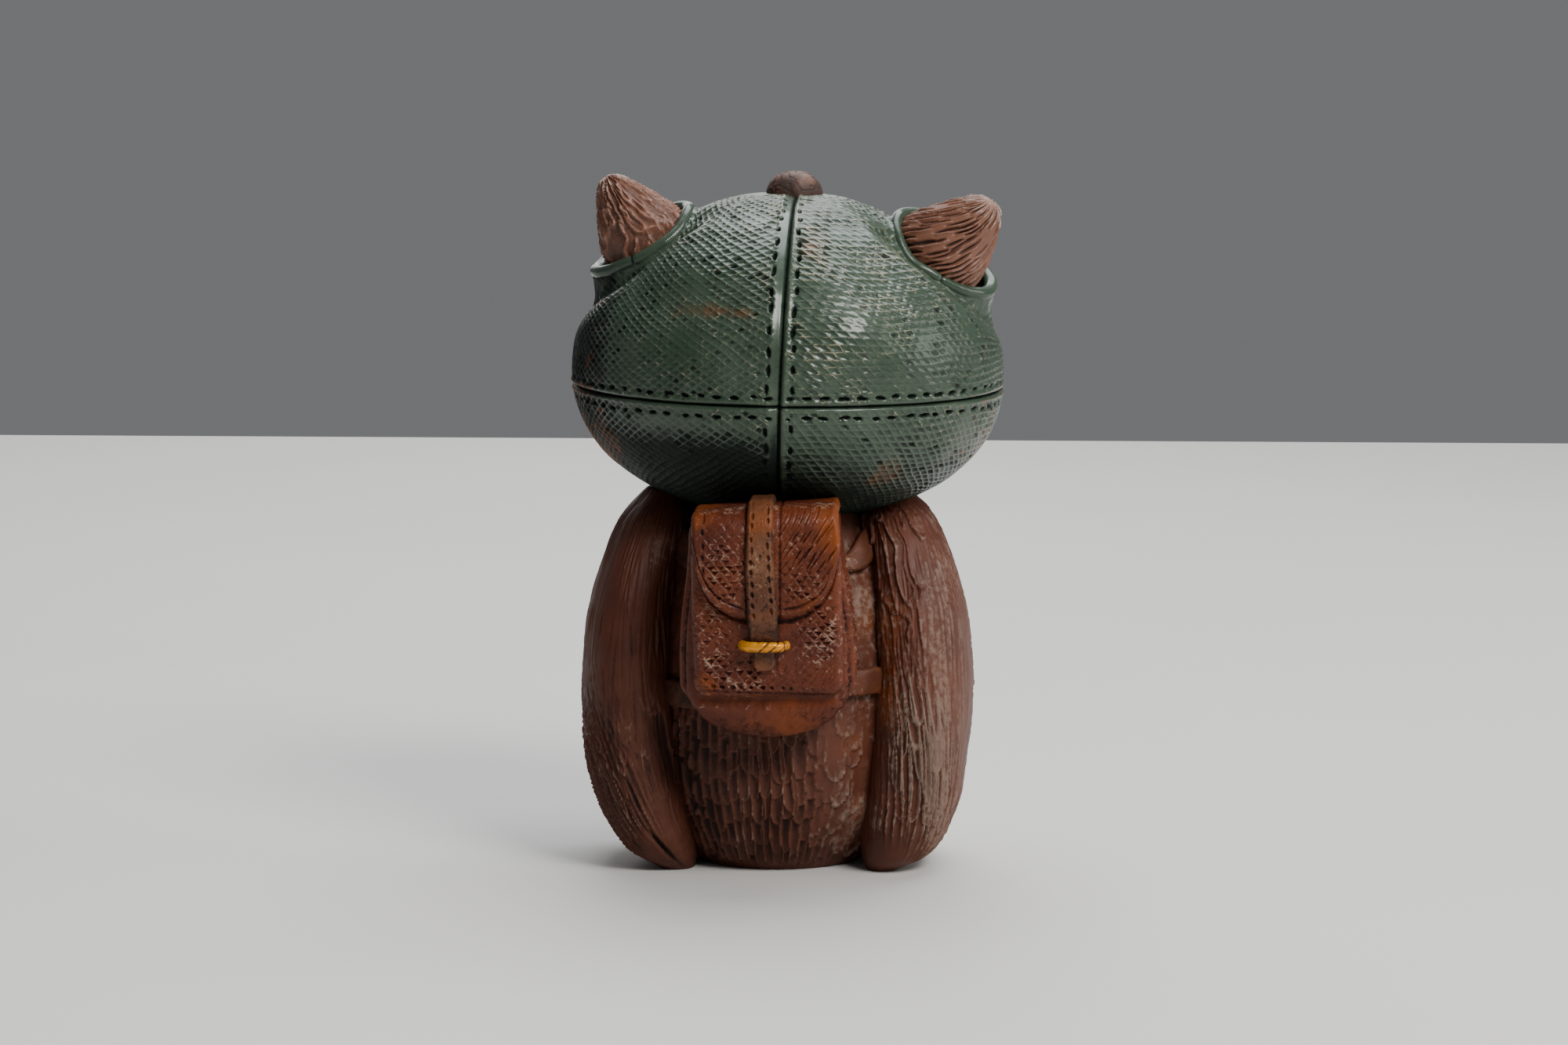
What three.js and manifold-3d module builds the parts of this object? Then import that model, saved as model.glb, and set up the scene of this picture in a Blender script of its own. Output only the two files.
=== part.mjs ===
// Clay owl figurine with a four-panel stitched cap and a small backpack.
// Millimetres, +Z up. The face looks along -Y and the backpack along +Y, and the owl's left side is +X.
// The origin lies on the table, under the middle of the body.

import * as THREE from 'three';
import { mergeVertices } from 'three/addons/utils/BufferGeometryUtils.js';
import Module from 'manifold-3d';

// Clearance between neighbouring pieces
const FIT_GAP = 0.3;

// Body
const BODY_HEIGHT = 74;
const BODY_WIDEST_Z = 30;
const BODY_HALF_WIDTH = 28;
const BODY_HALF_DEPTH = 27;
const BASE_HALF_WIDTH = 17.5;
const NECK_HALF_WIDTH = 15.8;
const BODY_LOWER_POWER = 3;
const BODY_UPPER_POWER = 3;
const BODY_WALL = 4.5;
const BASE_DISC_THICKNESS = 2.4;

// Armature
const DOWEL_RADIUS = 2;
const DOWEL_SINK = 30;
const DOWEL_RISE = 38;
const DOWEL_BOTTOM = BODY_HEIGHT - DOWEL_SINK;
const DOWEL_TOP = BODY_HEIGHT + DOWEL_RISE;

// Head, as the outside of the cap
const HEAD_HALF_WIDTH = 43.6;
const HEAD_HALF_DEPTH = 41;
const HEAD_UPPER = 35.6;
const HEAD_UPPER_POWER = 2.1;
const HEAD_LOWER = 29.5;
const HEAD_LOWER_POWER = 2.25;
const HEAD_X = -2;
const HEAD_RISE = 25.7;
const HEAD_Z = BODY_HEIGHT + HEAD_RISE;
const HEAD_TILT = -2.2;
const HEAD_WALL = 4;

// Cap
const CAP_WALL = 2.2;
const SEAM_DROP = 3.1;
const SEAM_TILT = 1.5;
const SEAM_BACK_DROP = 1.3;
const SEAM_X = -0.6;
const SEAM_WIDTH = 1.3;
const SEAM_DEPTH = 0.8;
const NECK_OPENING = 18.8;
const FACE_HALF_WIDTH = 26;
const FACE_HALF_HEIGHT = 19.5;
const FACE_DROP = 3;
const HEM_RADIUS = 1.2;
const BUTTON_RADIUS = 5.7;
const BUTTON_HEIGHT = 4.7;

// What differs between the owl's left and right: side is the sign of X, angles are in degrees
const SIDES = {
  left: {
    side: 1, earBack: 8, tuftLean: 5, tuftRadius: 8.6, tuftLength: 14.5, strapDrop: 3.2, wingSpread: -1.3,
  },
  right: {
    side: -1, earBack: 20, tuftLean: 15, tuftRadius: 8.9, tuftLength: 14.6, strapDrop: 0, wingSpread: 1,
  },
};

// Ears: opening, rolled rim and feather tuft
const EAR_OUT_SHARE = 0.69;
const EAR_UP_SHARE = 0.733;
const EAR_Y = 2;
const EAR_LEAN = 29.5;
const EAR_HALF_WIDTH = 11.65;
const EAR_DEPTH_RATIO = 0.9;
const RIM_RADIUS = 0.95;
const COLLAR_TOP = 0.6;
const COLLAR_SPREAD = 5;
const COLLAR_SINK = 10;
const TUFT_SINK = 6;
const TUFT_TIP_RADIUS = 2.8;

// Face
const EYE_RADIUS = 7;
const EYE_HEIGHT = 4.6;
const EYE_X = 11.3;
const EYE_Z = -1;
const DISC_RADIUS = 10.7;
const DISC_HEIGHT = 2.6;
const BEAK_LENGTH = 11;
const BEAK_HALF_WIDTH = 3.6;
const BEAK_REACH = 6.5;
const BEAK_Z = -4;

// Wings, as stations from the folded tip on the table to the shoulder. level is a share of the body's height,
// out and back are shares of its half width and depth, thick and deep are shares of the wing's own half sizes.
const WING_HALF_THICKNESS = 10.8;
const WING_HALF_DEPTH = 23;
const WING_SECTION_POWER = 2.2;
const WING_SPREAD_HEIGHT = 22;
const WING_STATIONS = [
  { level: 0, out: 0.743, back: 0.481, thick: 0.315, deep: 0.217 },
  { level: 0.041, out: 0.836, back: 0.389, thick: 0.639, deep: 0.478 },
  { level: 0.122, out: 0.907, back: 0.259, thick: 0.87, deep: 0.739 },
  { level: 0.243, out: 0.979, back: 0.148, thick: 0.981, deep: 0.913 },
  { level: 0.459, out: 1.029, back: 0.074, thick: 1, deep: 1 },
  { level: 0.676, out: 1.007, back: 0.037, thick: 0.954, deep: 0.935 },
  { level: 0.838, out: 0.939, back: 0.019, thick: 0.833, deep: 0.783 },
  { level: 0.946, out: 0.857, back: 0.019, thick: 0.694, deep: 0.565 },
  { level: 1.02, out: 0.796, back: 0.037, thick: 0.389, deep: 0.261 },
];

// Backpack
const PACK_TILT = 1.4;
const PACK_TOP_SLOPE = 2;
const PACK_BOTTOM_SLOPE = -0.6;
const PACK_WIDTH = 32.6;
const PACK_RISE = 0.1;
const PACK_SIDE_HEIGHT = 35.5;
const PACK_HEIGHT = 43.9;
const PACK_SINK = 13;
const PACK_REACH = 11.3;
const PACK_TOP = BODY_HEIGHT + PACK_RISE;
const PACK_SHOULDER = PACK_TOP - PACK_SIDE_HEIGHT;
const PACK_BOTTOM = PACK_TOP - PACK_HEIGHT;
const PACK_BACK = BODY_HALF_DEPTH - PACK_SINK;
const PACK_FACE = BODY_HALF_DEPTH + PACK_REACH;
const PACK_EDGE = 2;
const PANEL_WIDTH = 29.4;
const PANEL_THICKNESS = 1.8;
const PANEL_CORNER = 3.2;
const FLAP_WIDTH = 28.6;
const FLAP_THICKNESS = 1.5;
const FLAP_SIDE_HEIGHT = 13.1;
const FLAP_HEIGHT = 19.8;
const FLAP_BULGE = 0.4;
const FLAP_BEND = 3.4;
const FLAP_CORNER_Z = PACK_TOP - FLAP_SIDE_HEIGHT;
const FLAP_TIP_Z = PACK_TOP - FLAP_HEIGHT;
const FLAP_ROOT_Y = PACK_FACE - PACK_REACH;
const CLOSURE_WIDTH = 5.8;
const CLOSURE_END_WIDTH = 4.5;
const CLOSURE_THICKNESS = 1.4;
const CLOSURE_X = 0.6;
const CLOSURE_HEIGHT = 29.7;
const CLOSURE_TIP_Z = PACK_TOP - CLOSURE_HEIGHT;
const RING_DROP = 24.9;
const RING_Z = PACK_TOP - RING_DROP;
const RING_HALF_WIDTH = 4.6;
const RING_TUBE = 1.15;

// Shoulder straps, as angle round the body in degrees, and drop below the pack's top as a share of its side
const STRAP_WIDTH = 5.3;
const STRAP_THICKNESS = 1.2;
const STRAP_ROUTE = [
  [46, 0.31], [32, 0.225], [10, 0.17], [-16, 0.17], [-38, 0.24], [-54, 0.41], [-61, 0.62],
  [-56, 0.83], [-38, 0.96], [-14, 1], [12, 1], [34, 0.99], [50, 0.985],
];

// Feet
const TOE_RADIUS = 3.3;
const TOE_LENGTH = 11;
const TOE_SPREAD = 24;
const FOOT_X = 11.5;
const FOOT_REACH = 6.1;
const FOOT_PAD_RADIUS = 6.4;
const CLAW_LENGTH = 2.6;
const CLAW_RADIUS = 1.7;

// Facets: pieces that lie over the same form share its steps, so that their walls stay parallel
const BODY_AROUND = 26;
const BODY_LEVELS = 10;
const CAVITY_LEVELS = 4;
const CAP_AROUND = 26;
const CAP_LEVELS = 16;
const SKULL_AROUND = 20;
const SKULL_LEVELS = 12;
const CORE_AROUND = 12;
const CORE_LEVELS = 8;
const EAR_AROUND = 18;
const RIM_SIDES = 6;
const FACE_AROUND = 16;

const wasm = await Module();
wasm.setup();

const FINISHES = {
  feather: { color: 0x5a3b2e, roughness: 0.75 },
  tuft: { color: 0x7a5240, roughness: 0.7 },
  cap: { color: 0x3d5548, roughness: 0.42 },
  packLeather: { color: 0x6e3620, roughness: 0.55 },
  strapLeather: { color: 0x7c5a43, roughness: 0.6 },
  gold: { color: 0xc8942a, roughness: 0.3, metalness: 0.9 },
  foil: { color: 0xb9bcc0, roughness: 0.35, metalness: 0.9 },
  wood: { color: 0xc8a878, roughness: 0.65 },
  clay: { color: 0x8a6a58, roughness: 0.7 },
  horn: { color: 0x2e2622, roughness: 0.4 },
  eye: { color: 0xc9822a, roughness: 0.08 },
  face: { color: 0xb59878, roughness: 0.75 },
};

function radians(degrees) {
  return THREE.MathUtils.degToRad(degrees);
}

// Joins shared corners, drops collapsed triangles and turns the faces outwards.
function tidy(geometry) {
  const bare = geometry.clone();
  bare.deleteAttribute('normal');
  bare.deleteAttribute('uv');
  const merged = mergeVertices(bare, 1e-4);
  const position = merged.attributes.position;
  const kept = [];
  let volume = 0;
  const corners = [new THREE.Vector3(), new THREE.Vector3(), new THREE.Vector3()];
  for (let i = 0; i < merged.index.count; i += 3) {
    const triangle = [merged.index.getX(i), merged.index.getX(i + 1), merged.index.getX(i + 2)];
    if (new Set(triangle).size < 3) continue;
    kept.push(...triangle);
    triangle.forEach((vertex, k) => corners[k].fromBufferAttribute(position, vertex));
    volume += corners[0].dot(corners[1].clone().cross(corners[2]));
  }
  if (volume < 0) kept.reverse();
  merged.setIndex(kept);
  return merged;
}

function solidOf(geometry) {
  const clean = tidy(geometry);
  return new wasm.Manifold(new wasm.Mesh({
    numProp: 3,
    vertProperties: Float32Array.from(clean.attributes.position.array),
    triVerts: Uint32Array.from(clean.index.array),
  }));
}

function geometryOf(solid) {
  const mesh = solid.getMesh();
  const geometry = new THREE.BufferGeometry();
  geometry.setAttribute('position', new THREE.BufferAttribute(Float32Array.from(mesh.vertProperties), 3));
  geometry.setIndex(new THREE.BufferAttribute(Uint32Array.from(mesh.triVerts), 1));
  geometry.computeVertexNormals();
  return geometry;
}

function cut(geometry, ...cutters) {
  let solid = solidOf(geometry);
  for (const cutter of cutters) solid = solid.subtract(solidOf(cutter));
  return geometryOf(solid);
}

function join(...geometries) {
  let solid = solidOf(geometries[0]);
  for (const other of geometries.slice(1)) solid = solid.add(solidOf(other));
  return geometryOf(solid);
}

function common(geometry, other) {
  return geometryOf(solidOf(geometry).intersect(solidOf(other)));
}

// A grazing cut can leave a crumb beside the piece: only the triangles joined to the largest body stay.
function mainBody(geometry) {
  const clean = tidy(geometry);
  const index = clean.index.array;
  const owner = Array.from({ length: clean.attributes.position.count }, (_, i) => i);
  const rootOf = (vertex) => {
    let root = vertex;
    while (owner[root] !== root) root = owner[root];
    owner[vertex] = root;
    return root;
  };
  for (let i = 0; i < index.length; i += 3) {
    owner[rootOf(index[i])] = rootOf(index[i + 1]);
    owner[rootOf(index[i + 1])] = rootOf(index[i + 2]);
  }
  const bodies = new Map();
  for (let i = 0; i < index.length; i += 3) {
    const root = rootOf(index[i]);
    if (!bodies.has(root)) bodies.set(root, []);
    bodies.get(root).push(index[i], index[i + 1], index[i + 2]);
  }
  const largest = [...bodies.values()].reduce((best, body) => (body.length > best.length ? body : best));
  clean.setIndex(largest);
  return clean;
}

function piece(name, geometry, finish) {
  const clean = tidy(geometry);
  clean.computeVertexNormals();
  const mesh = new THREE.Mesh(clean, new THREE.MeshStandardMaterial({ metalness: 0, ...finish }));
  mesh.name = name;
  return mesh;
}

// Revolves a profile of [radius, height] points round the Z axis.
function revolve(profile, segments) {
  const points = profile.map(([radius, height]) => new THREE.Vector2(radius, height));
  return new THREE.LatheGeometry(points, segments).rotateX(Math.PI / 2);
}

// Skins a row of rings with the same number of points. An open row is closed by a fan at each end.
function skin(rings, closedRow = false) {
  const sides = rings[0].length;
  const points = rings.flat();
  const triangles = [];
  const rows = closedRow ? rings.length : rings.length - 1;
  for (let i = 0; i < rows; i += 1) {
    const next = (i + 1) % rings.length;
    for (let j = 0; j < sides; j += 1) {
      const a = i * sides + j;
      const b = i * sides + (j + 1) % sides;
      const c = next * sides + (j + 1) % sides;
      const d = next * sides + j;
      triangles.push(a, b, c, a, c, d);
    }
  }
  if (!closedRow) {
    for (const [row, flip] of [[0, true], [rings.length - 1, false]]) {
      const middle = new THREE.Vector3();
      rings[row].forEach((point) => middle.addScaledVector(point, 1 / sides));
      points.push(middle);
      for (let j = 0; j < sides; j += 1) {
        const a = row * sides + j;
        const b = row * sides + (j + 1) % sides;
        triangles.push(points.length - 1, flip ? b : a, flip ? a : b);
      }
    }
  }
  const geometry = new THREE.BufferGeometry();
  geometry.setAttribute('position', new THREE.Float32BufferAttribute(points.flatMap((p) => p.toArray()), 3));
  geometry.setIndex(triangles);
  return geometry;
}

// A round bar closed on itself along a loop of points.
function loopBar(points, radius, steps, sides) {
  const curve = new THREE.CatmullRomCurve3(points, true);
  const frames = curve.computeFrenetFrames(steps, true);
  const rings = [];
  for (let i = 0; i < steps; i += 1) {
    const centre = curve.getPointAt(i / steps);
    rings.push(Array.from({ length: sides }, (_, j) => {
      const angle = 2 * Math.PI * j / sides;
      return centre.clone()
        .addScaledVector(frames.normals[i], radius * Math.cos(angle))
        .addScaledVector(frames.binormals[i], radius * Math.sin(angle));
    }));
  }
  return skin(rings, true);
}

// Extrudes an outline drawn in X and Z along Y, from y0 to y1.
function plate(shape, y0, y1, edge = 0, curveSegments = 5) {
  const geometry = new THREE.ExtrudeGeometry(shape, {
    depth: y1 - y0 - 2 * edge,
    bevelEnabled: edge > 0,
    bevelThickness: edge,
    bevelSize: edge,
    bevelOffset: -edge,
    bevelSegments: 2,
    curveSegments,
  });
  return geometry.rotateX(Math.PI / 2).translate(0, y1 - edge, 0);
}

// Extrudes a closed side outline of [y, z] points across X, centred on x.
function across(outline, width, x = 0) {
  const shape = new THREE.Shape(outline.map(([y, z]) => new THREE.Vector2(y, z)));
  const geometry = new THREE.ExtrudeGeometry(shape, { depth: width, bevelEnabled: false });
  const turn = new THREE.Matrix4().makeBasis(
    new THREE.Vector3(0, 1, 0), new THREE.Vector3(0, 0, 1), new THREE.Vector3(1, 0, 0));
  return geometry.applyMatrix4(turn).translate(x - width / 2, 0, 0);
}

// Body form
function bodyRadius(z) {
  if (z < BODY_WIDEST_Z) {
    const drop = (BODY_WIDEST_Z - z) / BODY_WIDEST_Z;
    return BODY_HALF_WIDTH - (BODY_HALF_WIDTH - BASE_HALF_WIDTH) * drop ** BODY_LOWER_POWER;
  }
  const rise = (z - BODY_WIDEST_Z) / (BODY_HEIGHT - BODY_WIDEST_Z);
  return BODY_HALF_WIDTH - (BODY_HALF_WIDTH - NECK_HALF_WIDTH) * rise ** BODY_UPPER_POWER;
}

function bodyProfile(from, to, depth, steps) {
  return Array.from({ length: steps + 1 }, (_, i) => {
    const z = from + (to - from) * i / steps;
    return [bodyRadius(z) - depth, z];
  });
}

function bodyCutter(grow) {
  const base = BASE_HALF_WIDTH + grow;
  const side = bodyProfile(0, BODY_HEIGHT, -grow, BODY_LEVELS);
  return revolve([[0, -1], [base, -1], ...side, [0, BODY_HEIGHT + grow]], BODY_AROUND)
    .scale(1, BODY_HALF_DEPTH / BODY_HALF_WIDTH, 1);
}

function bodySurface(degrees, z, lift) {
  const angle = radians(degrees);
  const ratio = BODY_HALF_DEPTH / BODY_HALF_WIDTH;
  const radius = bodyRadius(z) + lift;
  return new THREE.Vector3(radius * Math.cos(angle), radius * Math.sin(angle) * ratio, z);
}

function makeBody() {
  const ratio = BODY_HALF_DEPTH / BODY_HALF_WIDTH;
  const hole = DOWEL_RADIUS + FIT_GAP;
  const outside = bodyProfile(BODY_HEIGHT, 0, 0, BODY_LEVELS);
  const inside = bodyProfile(0, BODY_HEIGHT - BODY_WALL, BODY_WALL, CAVITY_LEVELS);
  const shell = [[hole, BODY_HEIGHT], ...outside, ...inside, [hole, BODY_HEIGHT - BODY_WALL]];
  const coreBottom = BASE_DISC_THICKNESS + FIT_GAP;
  const coreTop = BODY_HEIGHT - BODY_WALL - FIT_GAP;
  const coreSide = inside.map(([radius, z]) => {
    const level = THREE.MathUtils.clamp(z, coreBottom, coreTop);
    return [radius - FIT_GAP, level];
  });
  const core = [
    [0, DOWEL_BOTTOM - FIT_GAP], [hole, DOWEL_BOTTOM - FIT_GAP],
    [hole, coreTop], ...coreSide.reverse(), [0, coreBottom],
  ];
  const disc = BASE_HALF_WIDTH - BODY_WALL - FIT_GAP;
  const seat = headForm(CAP_WALL, SKULL_AROUND, SKULL_LEVELS).applyMatrix4(headMatrix);
  return [
    piece('body_shell', cut(revolve([...shell, shell[0]], BODY_AROUND).scale(1, ratio, 1), seat),
      FINISHES.feather),
    piece('body_core', revolve(core, CORE_AROUND).scale(1, ratio, 1), FINISHES.foil),
    piece('base_disc', revolve([[0, 0], [disc, 0], [disc, BASE_DISC_THICKNESS],
      [0, BASE_DISC_THICKNESS]], 28).scale(1, ratio, 1), FINISHES.clay),
    piece('neck_dowel', revolve([[0, DOWEL_BOTTOM], [DOWEL_RADIUS, DOWEL_BOTTOM],
      [DOWEL_RADIUS, DOWEL_TOP], [0, DOWEL_TOP]], 12), FINISHES.wood),
  ];
}

// Head form, in its own frame with the origin at the widest level
const headMatrix = new THREE.Matrix4()
  .makeRotationY(radians(HEAD_TILT))
  .setPosition(HEAD_X, 0, HEAD_Z);

function headRing(height, depth) {
  const upper = height >= 0;
  const reach = upper ? HEAD_UPPER - depth : HEAD_LOWER - depth;
  const power = upper ? HEAD_UPPER_POWER : HEAD_LOWER_POWER;
  return Math.max(0, 1 - (Math.abs(height) / reach) ** power) ** (1 / power);
}

function headForm(depth, around, levels) {
  const sphere = new THREE.SphereGeometry(1, around, levels).rotateX(Math.PI / 2);
  const position = sphere.attributes.position;
  const point = new THREE.Vector3();
  for (let i = 0; i < position.count; i += 1) {
    point.fromBufferAttribute(position, i);
    const lower = point.z < 0;
    const power = 2 / (lower ? HEAD_LOWER_POWER : HEAD_UPPER_POWER);
    const level = Math.abs(point.z) ** power;
    const height = lower ? -(HEAD_LOWER - depth) * level : (HEAD_UPPER - depth) * level;
    const spread = Math.hypot(point.x, point.y);
    const ring = spread > 1e-6 ? spread ** power / spread : 0;
    position.setXYZ(i, (HEAD_HALF_WIDTH - depth) * point.x * ring,
      (HEAD_HALF_DEPTH - depth) * point.y * ring, height);
  }
  return sphere;
}

// A point on the front of the head form at x and z, and the outward direction there.
function facePoint(x, z, depth) {
  const ring = headRing(z, depth);
  const share = x / (HEAD_HALF_WIDTH - depth);
  const y = -(HEAD_HALF_DEPTH - depth) * Math.sqrt(Math.max(0, ring * ring - share * share));
  return new THREE.Vector3(x, y, z);
}

function faceNormal(x, z, depth) {
  const step = 0.5;
  const alongX = facePoint(x + step, z, depth).sub(facePoint(x - step, z, depth));
  const alongZ = facePoint(x, z + step, depth).sub(facePoint(x, z - step, depth));
  return alongX.cross(alongZ).normalize();
}

function inHeadFrame(geometry) {
  return geometry.clone().applyMatrix4(headMatrix.clone().invert());
}

function dowelCutter() {
  const length = DOWEL_TOP - DOWEL_BOTTOM;
  const radius = DOWEL_RADIUS + FIT_GAP;
  const cylinder = new THREE.CylinderGeometry(radius, radius, length + 2 * FIT_GAP, 12);
  return inHeadFrame(cylinder.rotateX(Math.PI / 2).translate(0, 0, DOWEL_BOTTOM + length / 2));
}

function makeHead() {
  const shellDepth = CAP_WALL + FIT_GAP;
  const coreDepth = shellDepth + HEAD_WALL + FIT_GAP;
  const bore = dowelCutter();
  const cavity = headForm(coreDepth - FIT_GAP, CORE_AROUND, CORE_LEVELS);
  const shell = cut(headForm(shellDepth, SKULL_AROUND, SKULL_LEVELS), cavity, bore);
  const core = cut(headForm(coreDepth, CORE_AROUND, CORE_LEVELS), bore);
  return [piece('head_shell', shell, FINISHES.face), piece('head_core', core, FINISHES.foil)];
}

// Ear frames, in the head frame: Z is the axis of the opening, X points outwards
function earMatrix({ side, earBack }) {
  const axis = new THREE.Vector3(side * Math.sin(radians(EAR_LEAN)), Math.sin(radians(earBack)),
    Math.cos(radians(EAR_LEAN))).normalize();
  const out = new THREE.Vector3(side, 0, 0).addScaledVector(axis, -side * axis.x).normalize();
  const across = new THREE.Vector3().crossVectors(axis, out);
  return new THREE.Matrix4().makeBasis(out, across, axis)
    .setPosition(side * EAR_OUT_SHARE * HEAD_HALF_WIDTH, EAR_Y, EAR_UP_SHARE * HEAD_UPPER);
}

const EAR_HOLE = EAR_HALF_WIDTH - 2 * RIM_RADIUS;

function earCollar(ear) {
  const steps = 4;
  const flare = Array.from({ length: steps + 1 }, (_, i) => {
    const share = i / steps;
    return [EAR_HALF_WIDTH - 0.2 + COLLAR_SPREAD * share ** 1.3, COLLAR_TOP - COLLAR_SINK * share];
  });
  const profile = [[0, COLLAR_TOP], ...flare, [0, COLLAR_TOP - COLLAR_SINK]];
  return revolve(profile, EAR_AROUND).scale(1, EAR_DEPTH_RATIO, 1).applyMatrix4(earMatrix(ear));
}

// The opening is stepped: its upper part clears the rim that lies on the collar.
function earHole(ear) {
  const reach = 1.2 * COLLAR_SINK;
  const rimClear = EAR_HALF_WIDTH + FIT_GAP;
  const profile = [[0, -reach], [EAR_HOLE, -reach], [EAR_HOLE, COLLAR_TOP], [rimClear, COLLAR_TOP],
    [rimClear, reach], [0, reach]];
  return revolve(profile, EAR_AROUND).scale(1, EAR_DEPTH_RATIO, 1).applyMatrix4(earMatrix(ear));
}

function earRim(ear) {
  const radius = EAR_HALF_WIDTH - RIM_RADIUS;
  const loop = Array.from({ length: 16 }, (_, i) => {
    const angle = 2 * Math.PI * i / 16;
    return new THREE.Vector3(radius * Math.cos(angle), radius * EAR_DEPTH_RATIO * Math.sin(angle),
      COLLAR_TOP + FIT_GAP + RIM_RADIUS);
  });
  return loopBar(loop, RIM_RADIUS, EAR_AROUND, RIM_SIDES).applyMatrix4(earMatrix(ear));
}

function earTuft(ear, sides = 14) {
  const levels = [0, 0.28, 0.36, 0.52, 0.68, 0.82, 0.91, 0.97, 1];
  const lean = Math.tan(radians(ear.tuftLean));
  const rings = levels.map((level) => {
    const height = -TUFT_SINK + (ear.tuftLength + TUFT_SINK) * level;
    const above = Math.max(0, height);
    const share = above / ear.tuftLength;
    const body = ear.tuftRadius + (TUFT_TIP_RADIUS - ear.tuftRadius) * share ** 1.3;
    const radius = body * Math.sqrt(Math.max(0.04, 1 - share ** 6));
    return Array.from({ length: sides }, (_, j) => {
      const angle = 2 * Math.PI * j / sides;
      return new THREE.Vector3(radius * Math.cos(angle) + above * lean,
        radius * EAR_DEPTH_RATIO * Math.sin(angle), height);
    });
  });
  return skin(rings).applyMatrix4(earMatrix(ear));
}

function makeEars() {
  const ground = headForm(CAP_WALL, SKULL_AROUND, SKULL_LEVELS);
  return Object.entries(SIDES).flatMap(([name, ear]) => [
    piece(`ear_rim_${name}`, earRim(ear), FINISHES.cap),
    piece(`ear_tuft_${name}`, cut(earTuft(ear), ground), FINISHES.tuft),
  ]);
}

// Cap: one thin shell over the head form, opened for the face, neck and ears, then cut along its seams
const CAP_SPAN = 3 * HEAD_HALF_WIDTH;

function atLevelSeam(geometry) {
  return geometry.rotateX(radians(-SEAM_BACK_DROP)).rotateY(radians(SEAM_TILT)).translate(0, 0, -SEAM_DROP);
}

function seamSlab(width, level) {
  if (level) return atLevelSeam(new THREE.BoxGeometry(CAP_SPAN, CAP_SPAN, width));
  return new THREE.BoxGeometry(width, CAP_SPAN, CAP_SPAN).translate(SEAM_X, 0, 0);
}

function capQuarter(side, upper) {
  const away = CAP_SPAN / 2 + FIT_GAP / 2;
  const half = new THREE.BoxGeometry(CAP_SPAN, 2 * CAP_SPAN, 2 * CAP_SPAN)
    .translate(SEAM_X + side * away, 0, 0);
  const level = atLevelSeam(new THREE.BoxGeometry(2 * CAP_SPAN, 2 * CAP_SPAN, CAP_SPAN)
    .translate(0, 0, (upper ? 1 : -1) * away));
  return common(half, level);
}

function makeCap() {
  let outside = headForm(0, CAP_AROUND, CAP_LEVELS);
  for (const ear of Object.values(SIDES)) outside = join(outside, earCollar(ear));
  const faceOpening = new THREE.CylinderGeometry(1, 1, 2 * HEAD_HALF_DEPTH, 32)
    .scale(FACE_HALF_WIDTH, 1, FACE_HALF_HEIGHT)
    .translate(0, -HEAD_HALF_DEPTH - 10, -FACE_DROP);
  const neckOpening = inHeadFrame(new THREE.CylinderGeometry(NECK_OPENING, NECK_OPENING, 30, 28)
    .rotateX(Math.PI / 2).translate(0, 0, HEAD_Z - HEAD_LOWER));
  let shell = cut(outside, headForm(CAP_WALL, SKULL_AROUND, SKULL_LEVELS), faceOpening, neckOpening,
    ...Object.values(SIDES).map(earHole));
  const belowSkin = headForm(SEAM_DEPTH, CAP_AROUND, CAP_LEVELS);
  for (const level of [true, false]) shell = cut(shell, cut(seamSlab(SEAM_WIDTH, level), belowSkin));
  const panels = [];
  for (const [level, upper] of [['upper', true], ['lower', false]]) {
    for (const [name, { side }] of Object.entries(SIDES)) {
      panels.push(piece(`cap_${level}_${name}`, common(shell, capQuarter(side, upper)), FINISHES.cap));
    }
  }
  return panels;
}

function makeCapTrim() {
  const middle = CAP_WALL / 2;
  const inset = HEM_RADIUS + FIT_GAP;
  const loop = Array.from({ length: 24 }, (_, i) => {
    const angle = 2 * Math.PI * i / 24;
    return facePoint((FACE_HALF_WIDTH - inset) * Math.cos(angle),
      -FACE_DROP + (FACE_HALF_HEIGHT - inset) * Math.sin(angle), middle);
  });
  const steps = 6;
  const dome = Array.from({ length: steps + 1 }, (_, i) => {
    const angle = Math.PI / 2 * i / steps;
    return [BUTTON_RADIUS * Math.cos(angle), BUTTON_HEIGHT * Math.sin(angle)];
  });
  const profile = [[0, -3], [BUTTON_RADIUS - 1, -3], ...dome];
  const domed = revolve(profile, 16).translate(0, 0, HEAD_UPPER);
  const button = cut(domed, headForm(-FIT_GAP, CAP_AROUND, CAP_LEVELS));
  return [
    piece('cap_front_hem', loopBar(loop, HEM_RADIUS, 28, RIM_SIDES), FINISHES.cap),
    piece('crown_button', button, FINISHES.tuft),
  ];
}

// Face: two feather discs, glass eyes set in them, and a hooked beak
function faceFrame(x, z) {
  const depth = CAP_WALL + FIT_GAP;
  const turn = new THREE.Quaternion()
    .setFromUnitVectors(new THREE.Vector3(0, 0, 1), faceNormal(x, z, depth));
  return new THREE.Matrix4().compose(facePoint(x, z, depth), turn, new THREE.Vector3(1, 1, 1));
}

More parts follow.
